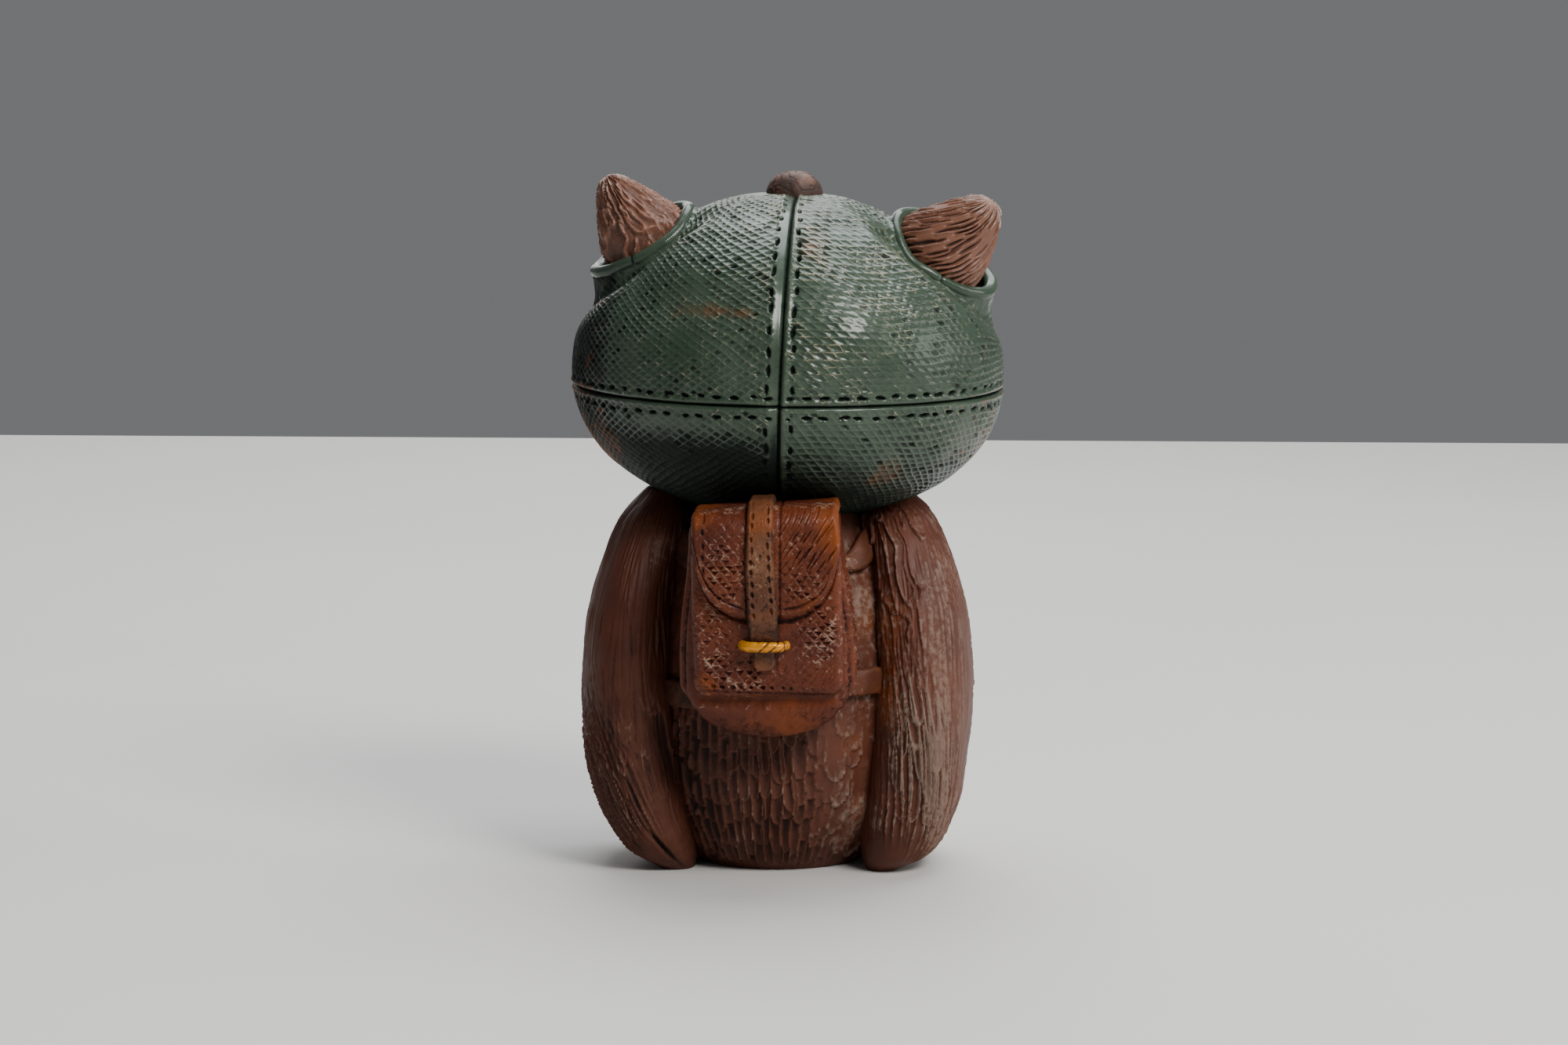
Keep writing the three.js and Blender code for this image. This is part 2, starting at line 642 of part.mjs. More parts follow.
function makeFace() {
  const ground = headForm(CAP_WALL, SKULL_AROUND, SKULL_LEVELS);
  const pieces = [];
  const eyeSeat = EYE_RADIUS + FIT_GAP;
  for (const [name, { side }] of Object.entries(SIDES)) {
    const frame = faceFrame(side * EYE_X, EYE_Z);
    const ring = [[eyeSeat, -4], [DISC_RADIUS, -4], [DISC_RADIUS, 0.4 * DISC_HEIGHT],
      [DISC_RADIUS - 1.2, DISC_HEIGHT], [eyeSeat + 0.8, 0.6 * DISC_HEIGHT], [eyeSeat, 0.5 * DISC_HEIGHT]];
    const disc = revolve([...ring, ring[0]], FACE_AROUND).applyMatrix4(frame);
    const steps = 4;
    const dome = Array.from({ length: steps + 1 }, (_, i) => {
      const angle = Math.PI / 2 * i / steps;
      return [EYE_RADIUS * Math.cos(angle), EYE_HEIGHT * Math.sin(angle)];
    });
    const eye = revolve([[0, -4], [EYE_RADIUS, -4], ...dome], FACE_AROUND).applyMatrix4(frame);
    pieces.push(piece(`face_disc_${name}`, cut(disc, ground), FINISHES.face));
    pieces.push(piece(`eye_${name}`, cut(eye, ground), FINISHES.eye));
  }
  const discs = Object.values(SIDES).map(({ side }) => revolve([[0, -6], [DISC_RADIUS + FIT_GAP, -6],
    [DISC_RADIUS + FIT_GAP, 8], [0, 8]], FACE_AROUND).applyMatrix4(faceFrame(side * EYE_X, EYE_Z)));
  return [...pieces, piece('beak', cut(makeBeak(), ground, ...discs), FINISHES.horn)];
}

function makeBeak() {
  const root = facePoint(0, BEAK_Z, CAP_WALL + FIT_GAP);
  const levels = 6;
  const sides = 12;
  const rings = Array.from({ length: levels + 1 }, (_, i) => {
    const share = i / levels;
    const taper = Math.sqrt(Math.max(0.01, 1 - share ** 1.6));
    const width = BEAK_HALF_WIDTH * taper * (0.55 + 0.45 * Math.min(1, 2 * share));
    const reach = BEAK_REACH * Math.sin(Math.PI * (0.12 + 0.72 * share));
    const z = root.z + BEAK_LENGTH * (0.4 - share);
    return Array.from({ length: sides }, (_, j) => {
      const angle = 2 * Math.PI * j / sides;
      const ahead = Math.sin(angle) < 0 ? reach : 6;
      return new THREE.Vector3(width * Math.cos(angle), root.y + ahead * Math.sin(angle), z);
    });
  });
  return skin(rings);
}

// Shoulder straps: a flat band laid on the body from the pack's shoulder round the chest and back
function strapBand({ side, strapDrop }, grow) {
  const steps = 22;
  const rings = [];
  const curve = new THREE.CatmullRomCurve3(STRAP_ROUTE.map(([degrees, drop], i) => {
    const share = Math.max(0, (2 * i / (STRAP_ROUTE.length - 1) - 1));
    const z = PACK_TOP - drop * PACK_SIDE_HEIGHT - strapDrop * share;
    return bodySurface(degrees, z, FIT_GAP + STRAP_THICKNESS / 2);
  }));
  const halfWidth = STRAP_WIDTH / 2 + grow;
  const halfThickness = STRAP_THICKNESS / 2 + grow;
  for (let i = 0; i <= steps; i += 1) {
    const centre = curve.getPointAt(i / steps);
    const along = curve.getTangentAt(i / steps);
    const slope = (bodyRadius(centre.z + 0.5) - bodyRadius(centre.z - 0.5));
    const normal = new THREE.Vector3(centre.x, centre.y, 0).normalize();
    normal.z = -slope;
    normal.addScaledVector(along, -normal.dot(along)).normalize();
    const wide = new THREE.Vector3().crossVectors(along, normal);
    rings.push([[-1, -0.9], [1, -0.9], [1, 0.4], [0.75, 1], [-0.75, 1], [-1, 0.4]]
      .map(([u, v]) => centre.clone()
        .addScaledVector(wide, halfWidth * u)
        .addScaledVector(normal, halfThickness * v)));
  }
  const band = skin(rings);
  return side > 0 ? band : band.scale(-1, 1, 1);
}

function wingLoft({ side, wingSpread }, sides = 16, steps = 12) {
  const centres = new THREE.CatmullRomCurve3(WING_STATIONS.map(({ level, out, back }) => {
    const z = level * BODY_HEIGHT;
    const low = Math.max(0, 1 - z / WING_SPREAD_HEIGHT);
    return new THREE.Vector3(out * BODY_HALF_WIDTH + wingSpread * low, back * BODY_HALF_DEPTH, z);
  }));
  const halves = new THREE.CatmullRomCurve3(WING_STATIONS.map(({ thick, deep }) => new THREE.Vector3(
    thick * WING_HALF_THICKNESS, deep * WING_HALF_DEPTH, 0)));
  const power = 2 / WING_SECTION_POWER;
  const loft = skin(Array.from({ length: steps + 1 }, (_, i) => {
    const centre = centres.getPoint(i / steps);
    const half = halves.getPoint(i / steps);
    return Array.from({ length: sides }, (_, j) => {
      const angle = 2 * Math.PI * j / sides;
      const [c, s] = [Math.cos(angle), Math.sin(angle)];
      return new THREE.Vector3(centre.x + half.x * Math.sign(c) * Math.abs(c) ** power,
        centre.y + half.y * Math.sign(s) * Math.abs(s) ** power, centre.z);
    });
  }));
  return side > 0 ? loft : loft.scale(-1, 1, 1);
}

function makeWings() {
  const capOutside = headForm(-FIT_GAP, CAP_AROUND, CAP_LEVELS).applyMatrix4(headMatrix);
  const body = bodyCutter(FIT_GAP);
  return Object.entries(SIDES).map(([name, variant]) => {
    const feathers = cut(wingLoft(variant), body, strapBand(variant, FIT_GAP), capOutside);
    return piece(`wing_${name}`, mainBody(feathers), FINISHES.feather);
  });
}

// Backpack, in its own frame: the same axes as the owl, tilted sideways about the middle of the pack
const packMiddle = (PACK_TOP + PACK_BOTTOM) / 2;
const packMatrix = new THREE.Matrix4().makeTranslation(0, 0, packMiddle)
  .multiply(new THREE.Matrix4().makeRotationY(radians(PACK_TILT)))
  .multiply(new THREE.Matrix4().makeTranslation(0, 0, -packMiddle));

// The pack was cut by hand: its top rises and its bottom falls a little across the width.
function packWarp(geometry) {
  const position = geometry.attributes.position;
  const half = (PACK_TOP - PACK_BOTTOM) / 2;
  for (let i = 0; i < position.count; i += 1) {
    const share = (position.getZ(i) - packMiddle) / half;
    const slope = share > 0 ? share * PACK_TOP_SLOPE : -share * PACK_BOTTOM_SLOPE;
    position.setZ(i, position.getZ(i) - position.getX(i) * Math.tan(radians(slope)));
  }
  return geometry;
}

function roundedBox(halfWidth, bottom, top, corner, belly = 0) {
  const shape = new THREE.Shape();
  shape.moveTo(-halfWidth + corner, top);
  shape.quadraticCurveTo(-halfWidth, top, -halfWidth, top - corner);
  shape.lineTo(-halfWidth, bottom + corner);
  shape.quadraticCurveTo(-halfWidth, bottom, -halfWidth + corner, bottom);
  if (belly > 0) {
    shape.bezierCurveTo(-halfWidth / 2, bottom - 1.25 * belly, halfWidth / 2, bottom - 1.25 * belly,
      halfWidth - corner, bottom);
  } else {
    shape.lineTo(halfWidth - corner, bottom);
  }
  shape.quadraticCurveTo(halfWidth, bottom, halfWidth, bottom + corner);
  shape.lineTo(halfWidth, top - corner);
  shape.quadraticCurveTo(halfWidth, top, halfWidth - corner, top);
  shape.closePath();
  return shape;
}

function packBox(grow) {
  const belly = PACK_SHOULDER - PACK_BOTTOM - 2;
  const shape = roundedBox(PACK_WIDTH / 2 + grow, PACK_SHOULDER - 2 - grow, PACK_TOP + grow, 4, belly);
  return plate(shape, PACK_BACK, PACK_FACE + grow, PACK_EDGE);
}

function panelFace() {
  return PACK_FACE + FIT_GAP + PANEL_THICKNESS;
}

// The side outline of a band of given thickness along a line of [y, z] points, the line being its inside.
function bandOutline(line, thickness) {
  const inner = line.map(([y, z]) => new THREE.Vector2(y, z));
  const outer = inner.map((point, i) => {
    const before = inner[Math.max(0, i - 1)];
    const after = inner[Math.min(inner.length - 1, i + 1)];
    const along = after.clone().sub(before).normalize();
    return point.clone().add(new THREE.Vector2(-along.y, along.x).multiplyScalar(thickness));
  });
  return [...inner, ...outer.reverse()].map((point) => [point.x, point.y]);
}

function flapLine(lift) {
  const face = panelFace() + FIT_GAP + lift;
  const top = PACK_TOP + FIT_GAP + lift;
  const bend = FLAP_BEND + lift;
  const line = [[FLAP_ROOT_Y, top], [FLAP_ROOT_Y + 4, top]];
  for (let i = 0; i <= 6; i += 1) {
    const angle = Math.PI / 2 * i / 6;
    line.push([face - bend + bend * Math.sin(angle), top - bend + bend * Math.cos(angle)]);
  }
  return line;
}

// The height at a share of the flap's straight side, and of its rounded end.
function flapSide(share) {
  return THREE.MathUtils.lerp(PACK_TOP, FLAP_CORNER_Z, share);
}

function flapEnd(share) {
  return THREE.MathUtils.lerp(FLAP_CORNER_Z, FLAP_TIP_Z, share);
}

// The flap hangs with a slight bulge, and what lies over it follows.
function hangingLine(lift) {
  const face = panelFace() + FIT_GAP + lift;
  return [...flapLine(lift), [face + FLAP_BULGE, flapSide(0.62)], [face + FLAP_BULGE / 2, flapEnd(0.45)]];
}

function makeFlap() {
  const face = panelFace() + FIT_GAP;
  const line = [...hangingLine(0), [face, FLAP_TIP_Z - 1]];
  const band = across(bandOutline(line, FLAP_THICKNESS), FLAP_WIDTH);
  const half = FLAP_WIDTH / 2;
  const outline = new THREE.Shape();
  const top = PACK_TOP + 2 * FLAP_THICKNESS;
  outline.moveTo(half - 1, top);
  outline.bezierCurveTo(half, flapSide(0.16), half, flapSide(0.62), half - 0.4, FLAP_CORNER_Z);
  outline.bezierCurveTo(half - 2.5, FLAP_TIP_Z + 1.5, half - 8, FLAP_TIP_Z, 0, FLAP_TIP_Z);
  outline.bezierCurveTo(-half + 8, FLAP_TIP_Z, -half + 2.5, FLAP_TIP_Z + 1.5, -half + 0.4, FLAP_CORNER_Z);
  outline.bezierCurveTo(-half, flapSide(0.62), -half, flapSide(0.16), -half + 1, top);
  outline.closePath();
  return common(band, plate(outline, PACK_BACK, PACK_FACE + 20, 0, 6));
}

function makeClosure() {
  const face = panelFace() + FIT_GAP;
  const lift = FLAP_THICKNESS + FIT_GAP;
  const line = [...hangingLine(lift), [face + lift, FLAP_TIP_Z],
    [face + lift / 2, (FLAP_TIP_Z + RING_Z) / 2], [face, RING_Z], [face, CLOSURE_TIP_Z]];
  line.shift();
  const band = across(bandOutline(line, CLOSURE_THICKNESS), CLOSURE_WIDTH + 2, CLOSURE_X);
  const half = CLOSURE_WIDTH / 2;
  const end = CLOSURE_END_WIDTH / 2;
  const shape = new THREE.Shape();
  shape.moveTo(half - 0.5, PACK_TOP + 10);
  shape.lineTo(half - 0.5, flapSide(0.3));
  shape.lineTo(half, FLAP_TIP_Z);
  shape.quadraticCurveTo(half, RING_Z + 2, end, RING_Z + 1.5);
  shape.lineTo(end, CLOSURE_TIP_Z + 2.2);
  shape.quadraticCurveTo(end, CLOSURE_TIP_Z, 0, CLOSURE_TIP_Z);
  shape.quadraticCurveTo(-end, CLOSURE_TIP_Z, -end, CLOSURE_TIP_Z + 2.2);
  shape.lineTo(-end, RING_Z + 1.5);
  shape.quadraticCurveTo(-half, RING_Z + 2, -half, FLAP_TIP_Z);
  shape.lineTo(-half + 0.5, flapSide(0.3));
  shape.lineTo(-half + 0.5, PACK_TOP + 10);
  shape.closePath();
  return common(band, plate(shape, PACK_BACK, PACK_FACE + 20, 0, 5).translate(CLOSURE_X, 0, 0));
}

function makeRing() {
  const face = panelFace() + FIT_GAP;
  const crest = face + CLOSURE_THICKNESS + FIT_GAP + RING_TUBE;
  const foot = face + RING_TUBE;
  const end = RING_HALF_WIDTH - RING_TUBE;
  const path = new THREE.CatmullRomCurve3([
    new THREE.Vector3(-end - 0.6, face, 0), new THREE.Vector3(-end - 0.2, foot, 0),
    new THREE.Vector3(-end + 1, crest, 0), new THREE.Vector3(0, crest + 0.25, 0),
    new THREE.Vector3(end - 1, crest, 0), new THREE.Vector3(end + 0.2, foot, 0),
    new THREE.Vector3(end + 0.6, face, 0),
  ]);
  const section = new THREE.Shape(Array.from({ length: 8 }, (_, i) => {
    const angle = 2 * Math.PI * i / 8;
    return new THREE.Vector2(RING_TUBE * Math.cos(angle), RING_TUBE * Math.sin(angle));
  }));
  return new THREE.ExtrudeGeometry(section, { steps: 14, extrudePath: path, bevelEnabled: false })
    .translate(CLOSURE_X, 0, RING_Z);
}

function makePack() {
  const toPack = packMatrix.clone().invert();
  const body = bodyCutter(FIT_GAP).applyMatrix4(toPack);
  const cap = headForm(-FIT_GAP, CAP_AROUND, CAP_LEVELS).applyMatrix4(headMatrix).applyMatrix4(toPack);
  const box = cut(packWarp(packBox(0)), body, cap);
  const panel = plate(roundedBox(PANEL_WIDTH / 2, PACK_SHOULDER + 0.2, PACK_TOP - FLAP_BEND, PANEL_CORNER),
    PACK_FACE + FIT_GAP, panelFace(), 0.7, 4);
  return [
    piece('pack_body', box, FINISHES.packLeather),
    piece('pack_front_panel', packWarp(panel), FINISHES.packLeather),
    piece('pack_flap', cut(packWarp(makeFlap()), cap), FINISHES.packLeather),
    piece('pack_closure_strap', cut(packWarp(makeClosure()), cap), FINISHES.strapLeather),
    piece('pack_ring', packWarp(makeRing()), FINISHES.gold),
  ];
}

function makeStraps() {
  const pack = packWarp(packBox(FIT_GAP)).applyMatrix4(packMatrix);
  return Object.entries(SIDES).map(([name, variant]) => piece(`shoulder_strap_${name}`,
    cut(strapBand(variant, 0), pack), FINISHES.strapLeather));
}

// Feet: a pad with three toes, and a claw on each toe
function footY() {
  return -BASE_HALF_WIDTH * BODY_HALF_DEPTH / BODY_HALF_WIDTH - FOOT_REACH;
}

function toeAngles() {
  return [-TOE_SPREAD, 0, TOE_SPREAD];
}

function toeFrame(side, degrees) {
  return new THREE.Matrix4().makeTranslation(side * FOOT_X, footY(), 0)
    .multiply(new THREE.Matrix4().makeRotationZ(radians(degrees + side * 6)));
}

function makeFoot(side) {
  const pad = new THREE.SphereGeometry(FOOT_PAD_RADIUS, 12, 5).translate(side * FOOT_X, footY(), 0);
  const toes = toeAngles().map((degrees) => new THREE.SphereGeometry(1, 8, 5)
    .scale(TOE_RADIUS, TOE_LENGTH / 2, TOE_RADIUS)
    .translate(0, -TOE_LENGTH / 2, TOE_RADIUS - 0.5)
    .applyMatrix4(toeFrame(side, degrees)));
  const below = new THREE.BoxGeometry(60, 60, 20).translate(side * FOOT_X, footY(), -10);
  const claws = toeAngles().map((degrees) => clawCutter(side, degrees));
  return cut(join(pad, ...toes), below, bodyCutter(FIT_GAP), ...claws);
}

function clawAt(side, degrees, grow) {
  const levels = 3;
  const sides = 6;
  const rings = Array.from({ length: levels + 1 }, (_, i) => {
    const share = i / levels;
    const radius = Math.max(0.4, CLAW_RADIUS * (1 - share ** 1.8)) + grow;
    const drop = (TOE_RADIUS - CLAW_RADIUS * 0.2) - (TOE_RADIUS - 0.9) * share ** 2;
    return Array.from({ length: sides }, (_, j) => {
      const angle = 2 * Math.PI * j / sides;
      return new THREE.Vector3(radius * Math.cos(angle), -TOE_LENGTH + 1.8 - (CLAW_LENGTH + 1) * share,
        drop + radius * Math.sin(angle));
    });
  });
  return skin(rings).applyMatrix4(toeFrame(side, degrees));
}

function clawCutter(side, degrees) {
  return clawAt(side, degrees, FIT_GAP);
}

function makeFeet() {
  const names = ['inner', 'middle', 'outer'];
  return Object.entries(SIDES).flatMap(([name, { side }]) => [
    piece(`foot_${name}`, makeFoot(side), FINISHES.clay),
    ...toeAngles().map((degrees, i) => piece(`claw_${names[side > 0 ? i : 2 - i]}_${name}`,
      clawAt(side, degrees, 0), FINISHES.horn)),
  ]);
}

const owl = new THREE.Group();
owl.add(...makeBody(), ...makeWings(), ...makeStraps(), ...makeFeet());

const head = new THREE.Group();
head.applyMatrix4(headMatrix);
head.add(...makeHead(), ...makeCap(), ...makeCapTrim(), ...makeEars(), ...makeFace());
owl.add(head);

const pack = new THREE.Group();
pack.applyMatrix4(packMatrix);
pack.add(...makePack());
owl.add(pack);

export default owl;
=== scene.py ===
"""Looks of a hand-modelled clay owl with a stitched cap and a small backpack.

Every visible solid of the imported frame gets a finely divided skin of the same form. The skin is carved in
code the way the clay was worked by hand: feather strokes, stitch holes, seams, a net of small scales and
pressed leather. Sizes are in millimetres until a skin is made a mesh.
"""

import logging
import math
from dataclasses import dataclass, field
from enum import Enum
from typing import Callable

import bmesh
import bpy
import numpy as np
from mathutils import Matrix, Vector

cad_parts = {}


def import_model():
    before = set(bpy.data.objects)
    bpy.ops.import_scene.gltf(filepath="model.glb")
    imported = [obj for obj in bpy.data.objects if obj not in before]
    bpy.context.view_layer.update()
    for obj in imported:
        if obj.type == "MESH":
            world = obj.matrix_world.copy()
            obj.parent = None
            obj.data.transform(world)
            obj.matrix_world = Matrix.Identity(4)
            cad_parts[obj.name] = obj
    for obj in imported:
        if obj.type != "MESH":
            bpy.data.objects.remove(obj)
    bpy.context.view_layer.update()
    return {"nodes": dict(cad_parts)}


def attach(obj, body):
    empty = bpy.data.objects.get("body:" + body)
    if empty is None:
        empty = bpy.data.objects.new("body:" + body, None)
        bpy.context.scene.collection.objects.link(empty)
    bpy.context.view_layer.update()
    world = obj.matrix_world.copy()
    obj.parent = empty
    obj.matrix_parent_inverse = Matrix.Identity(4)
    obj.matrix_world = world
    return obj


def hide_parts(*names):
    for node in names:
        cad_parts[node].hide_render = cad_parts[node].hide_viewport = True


LOG = logging.getLogger("clay_owl")
MM = 0.001
TAU = 2.0 * math.pi
Array = np.ndarray
Place = Callable[[Array, Array], Array]
Marks = dict[str, Array | float]
Point = tuple[float, float, float]


class Side(Enum):
    """The owl's own sides. The value is the sign of X."""

    LEFT = 1
    RIGHT = -1

    @property
    def word(self) -> str:
        """The ending of the piece names on this side."""
        return self.name.lower()


# Numbers over a surface


def smooth(low: float, high: float, value: Array) -> Array:
    """Goes smoothly from 0 at low to 1 at high.

    Args:
        low: where the step starts.
        high: where the step ends. It may be below low.
        value: the numbers to step.

    Returns:
        The stepped numbers.
    """
    share = np.clip((value - low) / (high - low), 0.0, 1.0)
    return share * share * (3.0 - 2.0 * share)


def bell(value: Array, width: float) -> Array:
    """A bell of height 1 round zero."""
    return np.exp(-((value / width) ** 2))


def scatter(i: Array, j: Array, seed: int) -> Array:
    """A fixed random number for each cell.

    Args:
        i: column of the cell.
        j: row of the cell.
        seed: another seed gives other numbers.

    Returns:
        Numbers from 0 to 1.
    """
    mixed = (i.astype(np.int64) * 374761393 + j.astype(np.int64) * 668265263 + seed * 974634777) & 0x7FFFFFFF
    mixed = ((mixed ^ (mixed >> 13)) * 1274126177) & 0x7FFFFFFF
    mixed = ((mixed ^ (mixed >> 15)) * 461845907) & 0x7FFFFFFF
    return (mixed ^ (mixed >> 14)) / float(0x7FFFFFFF)


def lump(points: Array, size: float, seed: int, octaves: int = 2) -> Array:
    """Soft uneven noise in space, as hand-rolled clay has.

    Args:
        points: places in millimetres, one row each.
        size: how far apart the largest lumps are.
        seed: another seed gives other lumps.
        octaves: how many finer layers are added.

    Returns:
        Numbers from about -1 to 1.
    """
    total = np.zeros(len(points))
    weight = 1.0
    reach = 0.0
    for octave in range(octaves):
        scaled = points / (size * 0.5**octave) + 17.3 * octave
        cell = np.floor(scaled).astype(np.int64)
        part = scaled - cell
        part = part * part * (3.0 - 2.0 * part)
        value = np.zeros(len(points))
        for corner in range(8):
            step = np.array([corner & 1, (corner >> 1) & 1, corner >> 2])
            share = np.prod(np.where(step, part, 1.0 - part), axis=1)
            at = cell + step
            value += share * scatter(at[:, 0] + 57 * at[:, 2], at[:, 1] - 131 * at[:, 2], seed + octave)
        total += weight * (2.0 * value - 1.0)
        reach += weight
        weight *= 0.5
    return total / reach


def xyz(x: Array, y: Array, z: Array | float = 0.0) -> Array:
    """Puts coordinates in one array, with one row for each place."""
    return np.stack(np.broadcast_arrays(x, y, z), axis=1)


def unit(rows: Array, least: float = 1e-12) -> Array:
    """Brings each row to length 1, but for rows shorter than least."""
    return rows / np.maximum(np.linalg.norm(rows, axis=1), least)[:, None]


def round_off(value: Array, start: float) -> tuple[Array, Array]:
    """Rounds the edge of a plate that reaches from -1 to 1.

    Args:
        value: position across the plate.
        start: where the rounding starts, 0 to 1.

    Returns:
        The eased position, and how far the face has sunk there, 0 to 1.
    """
    size = np.abs(value)
    share = np.clip((size - start) / (1.0 - start), 0.0, 1.0) * np.pi / 2
    eased = np.where(size > start, start + (1.0 - start) * np.sin(share), size)
    return eased * np.sign(value), 1.0 - np.cos(share)


def marks(height: Array, relief: Array | float, brush: Array | float, patina: Array | float) -> Marks:
    """What a carving hands over: its height and the three masks of the paint."""
    # On some pieces the relief mask also carries painted light and shade.
    return {"height": height, "relief": relief, "brush": brush, "patina": patina}


@dataclass(frozen=True)
class StrokeField:
    """Scoops of a loop tool that end in raised lips and lie over each other like shingles.

    Coordinates count cells: columns across the scoops, rows along them, with rows growing downwards.
    """

    columns: int
    seed: int
    half_width: float = 0.57
    length: float = 1.45
    lift: float = 0.6
    hollow: float = 0.5
    burr: float = 0.2
    drop: float = 0.45
    lean: float = 0.12
    tip: float = 0.3
    wander: float = 0.35
    stagger: float = 0.5

    def height(self, s: Array, t: Array) -> Array:
        """The height of the scoops.

        Args:
            s: position in columns.
            t: position in rows.

        Returns:
            Heights in millimetres. The bare ground is at minus drop.
        """
        best = np.full(s.shape, -self.drop)
        column = np.floor(s)
        for across in (-1, 0, 1):
            i = column + across
            wrapped = np.mod(i, self.columns)
            shift = self.stagger * scatter(wrapped, np.zeros_like(wrapped), self.seed + 5)
            row = np.floor(t + shift)
            for along in (-2, -1, 0):
                j = row + along
                roll = [scatter(wrapped, j, self.seed + k) for k in range(4)]
                top = j - shift + self.wander * (roll[0] - 0.5)
                size = self.length * (0.8 + 0.45 * roll[1])
                y = (t - top) / size
                centre = i + 0.5 + 0.3 * (roll[2] - 0.5)
                slant = self.lean * (2.0 * roll[3] - 1.0) * (t - top)
                x = np.abs((s - centre - slant) / (self.half_width * (0.85 + 0.35 * roll[3])))
                end = np.maximum(0.0, (y - (1.0 - self.tip)) / self.tip)
                inside = 1.0 - np.hypot(x, end)
                rise = np.maximum(y, 0.0) ** 1.6 * self.lift * (0.7 + 0.6 * roll[0])
                lip = self.burr * bell(inside, 0.16) * smooth(0.3, 0.9, y)
                shape = rise + self.hollow * np.minimum(x, 1.2) ** 2.4 + lip - self.drop
                shape = shape - (self.lift + self.hollow) * smooth(0.03, -0.07, inside) - 4.0 * (y < 0.0)
                best = np.maximum(best, np.where(inside > -0.1, shape, -self.drop))
        return best


@dataclass(frozen=True)
class Slits:
    """Short cuts of a blade, each with a lip of clay pushed up beside it. All sizes are millimetres."""

    wide: float
    tall: float
    seed: int
    share: float = 0.6
    half_width: float = 0.3
    half_length: float = 3.0
    depth: float = 0.6
    burr: float = 0.3
    slant: float = 0.0

    def height(self, s: Array, t: Array) -> Array:
        """The height of the cuts and their lips.

        Args:
            s: millimetres across the cuts.
            t: millimetres along them.

        Returns:
            Heights in millimetres.
        """
        total = np.zeros(s.shape)
        column, row = np.floor(s / self.wide), np.floor(t / self.tall)
        for across in (-1, 0, 1):
            for along in (-1, 0, 1):
                i, j = column + across, row + along
                roll = [scatter(i, j, self.seed + k) for k in range(4)]
                y = t - (j + 0.5 + 0.6 * (roll[1] - 0.5)) * self.tall
                x = (s - (i + 0.5 + 0.7 * (roll[0] - 0.5)) * self.wide
                     - (self.slant + 0.2 * (roll[3] - 0.5)) * y)
                reach = self.half_length * (0.6 + 0.7 * roll[3])
                taper = np.sqrt(np.clip(1.0 - (y / reach) ** 2, 0.0, 1.0))
                cut = bell(x, self.half_width * (0.35 + 0.65 * taper)) * taper
                lip = bell(x - 2.2 * self.half_width, 1.1 * self.half_width) * taper
                total += np.where(roll[2] < self.share, self.burr * lip - self.depth * cut, 0.0)
        return total


@dataclass(frozen=True)
class ScaleNet:
    """Two families of lines pressed in soft clay, with small dents between them."""

    pitch: float
    turns: tuple[float, float]
    seed: int
    depth: float = 0.28
    tilt: float = 0.5
    warp: float = 1.1

    def lattice(self, s: Array, t: Array) -> list[Array]:
        """Counts the lines of each family up to each place.

        Args:
            s: millimetres to the right.
            t: millimetres up.

        Returns:
            The count of the first and of the second family.
        """
        spot = xyz(s, t)
        s = s + self.warp * lump(spot, 13.0, self.seed) + 0.16 * lump(spot, 1.8, self.seed + 1)
        t = t + self.warp * lump(spot, 13.0, self.seed + 3) + 0.16 * lump(spot, 1.8, self.seed + 4)
        return [(t * math.cos(math.radians(turn)) - s * math.sin(math.radians(turn))) / self.pitch
                for turn in self.turns]

    def height(self, s: Array, t: Array) -> tuple[Array, Array]:
        """The height of the net.

        Args:
            s: millimetres to the right.
            t: millimetres up.

        Returns:
            Heights in millimetres, zero on the lines, and how near each place is to a line.
        """
        a, b = self.lattice(s, t)
        left = a - np.floor(a) - 0.5
        right = b - np.floor(b) - 0.5
        edge = 0.5 - np.maximum(np.abs(left), np.abs(right))
        roll = scatter(np.floor(a), np.floor(b), self.seed + 9)
        dent = (smooth(0.02, 0.3, edge) * (0.6 + 0.6 * roll + 0.6 * (roll > 0.92))
                * (1.0 + self.tilt * (left + right)))
        return -self.depth * dent, smooth(0.16, 0.02, edge)

    def pits(self, s: Array, t: Array) -> tuple[Array, Array]:
        """The height of a net of small three-cornered pits, some faint, with crumbs of clay between them.

        Args:
            s: millimetres to the right.
            t: millimetres up.

        Returns:
            Heights in millimetres, and how near each place is to a pit's rim.
        """
        a, b = self.lattice(s, t)
        roll = [scatter(np.floor(a), np.floor(b), self.seed + 9 + k) for k in range(3)]
        left = a - np.floor(a) - 0.5 + 0.3 * (roll[1] - 0.5)
        right = b - np.floor(b) - 0.5 + 0.3 * (roll[2] - 0.5)
        inside = np.minimum(np.minimum(left + 0.36, right + 0.36), (0.3 - left - right) / 1.3)
        pit = smooth(0.0, 0.22, inside) * (0.35 + 0.9 * roll[0]) * (roll[2] > 0.12)
        rim = bell(inside + 0.06, 0.07) * (0.4 + roll[1])
        return 0.12 * rim - 0.5 * pit, rim


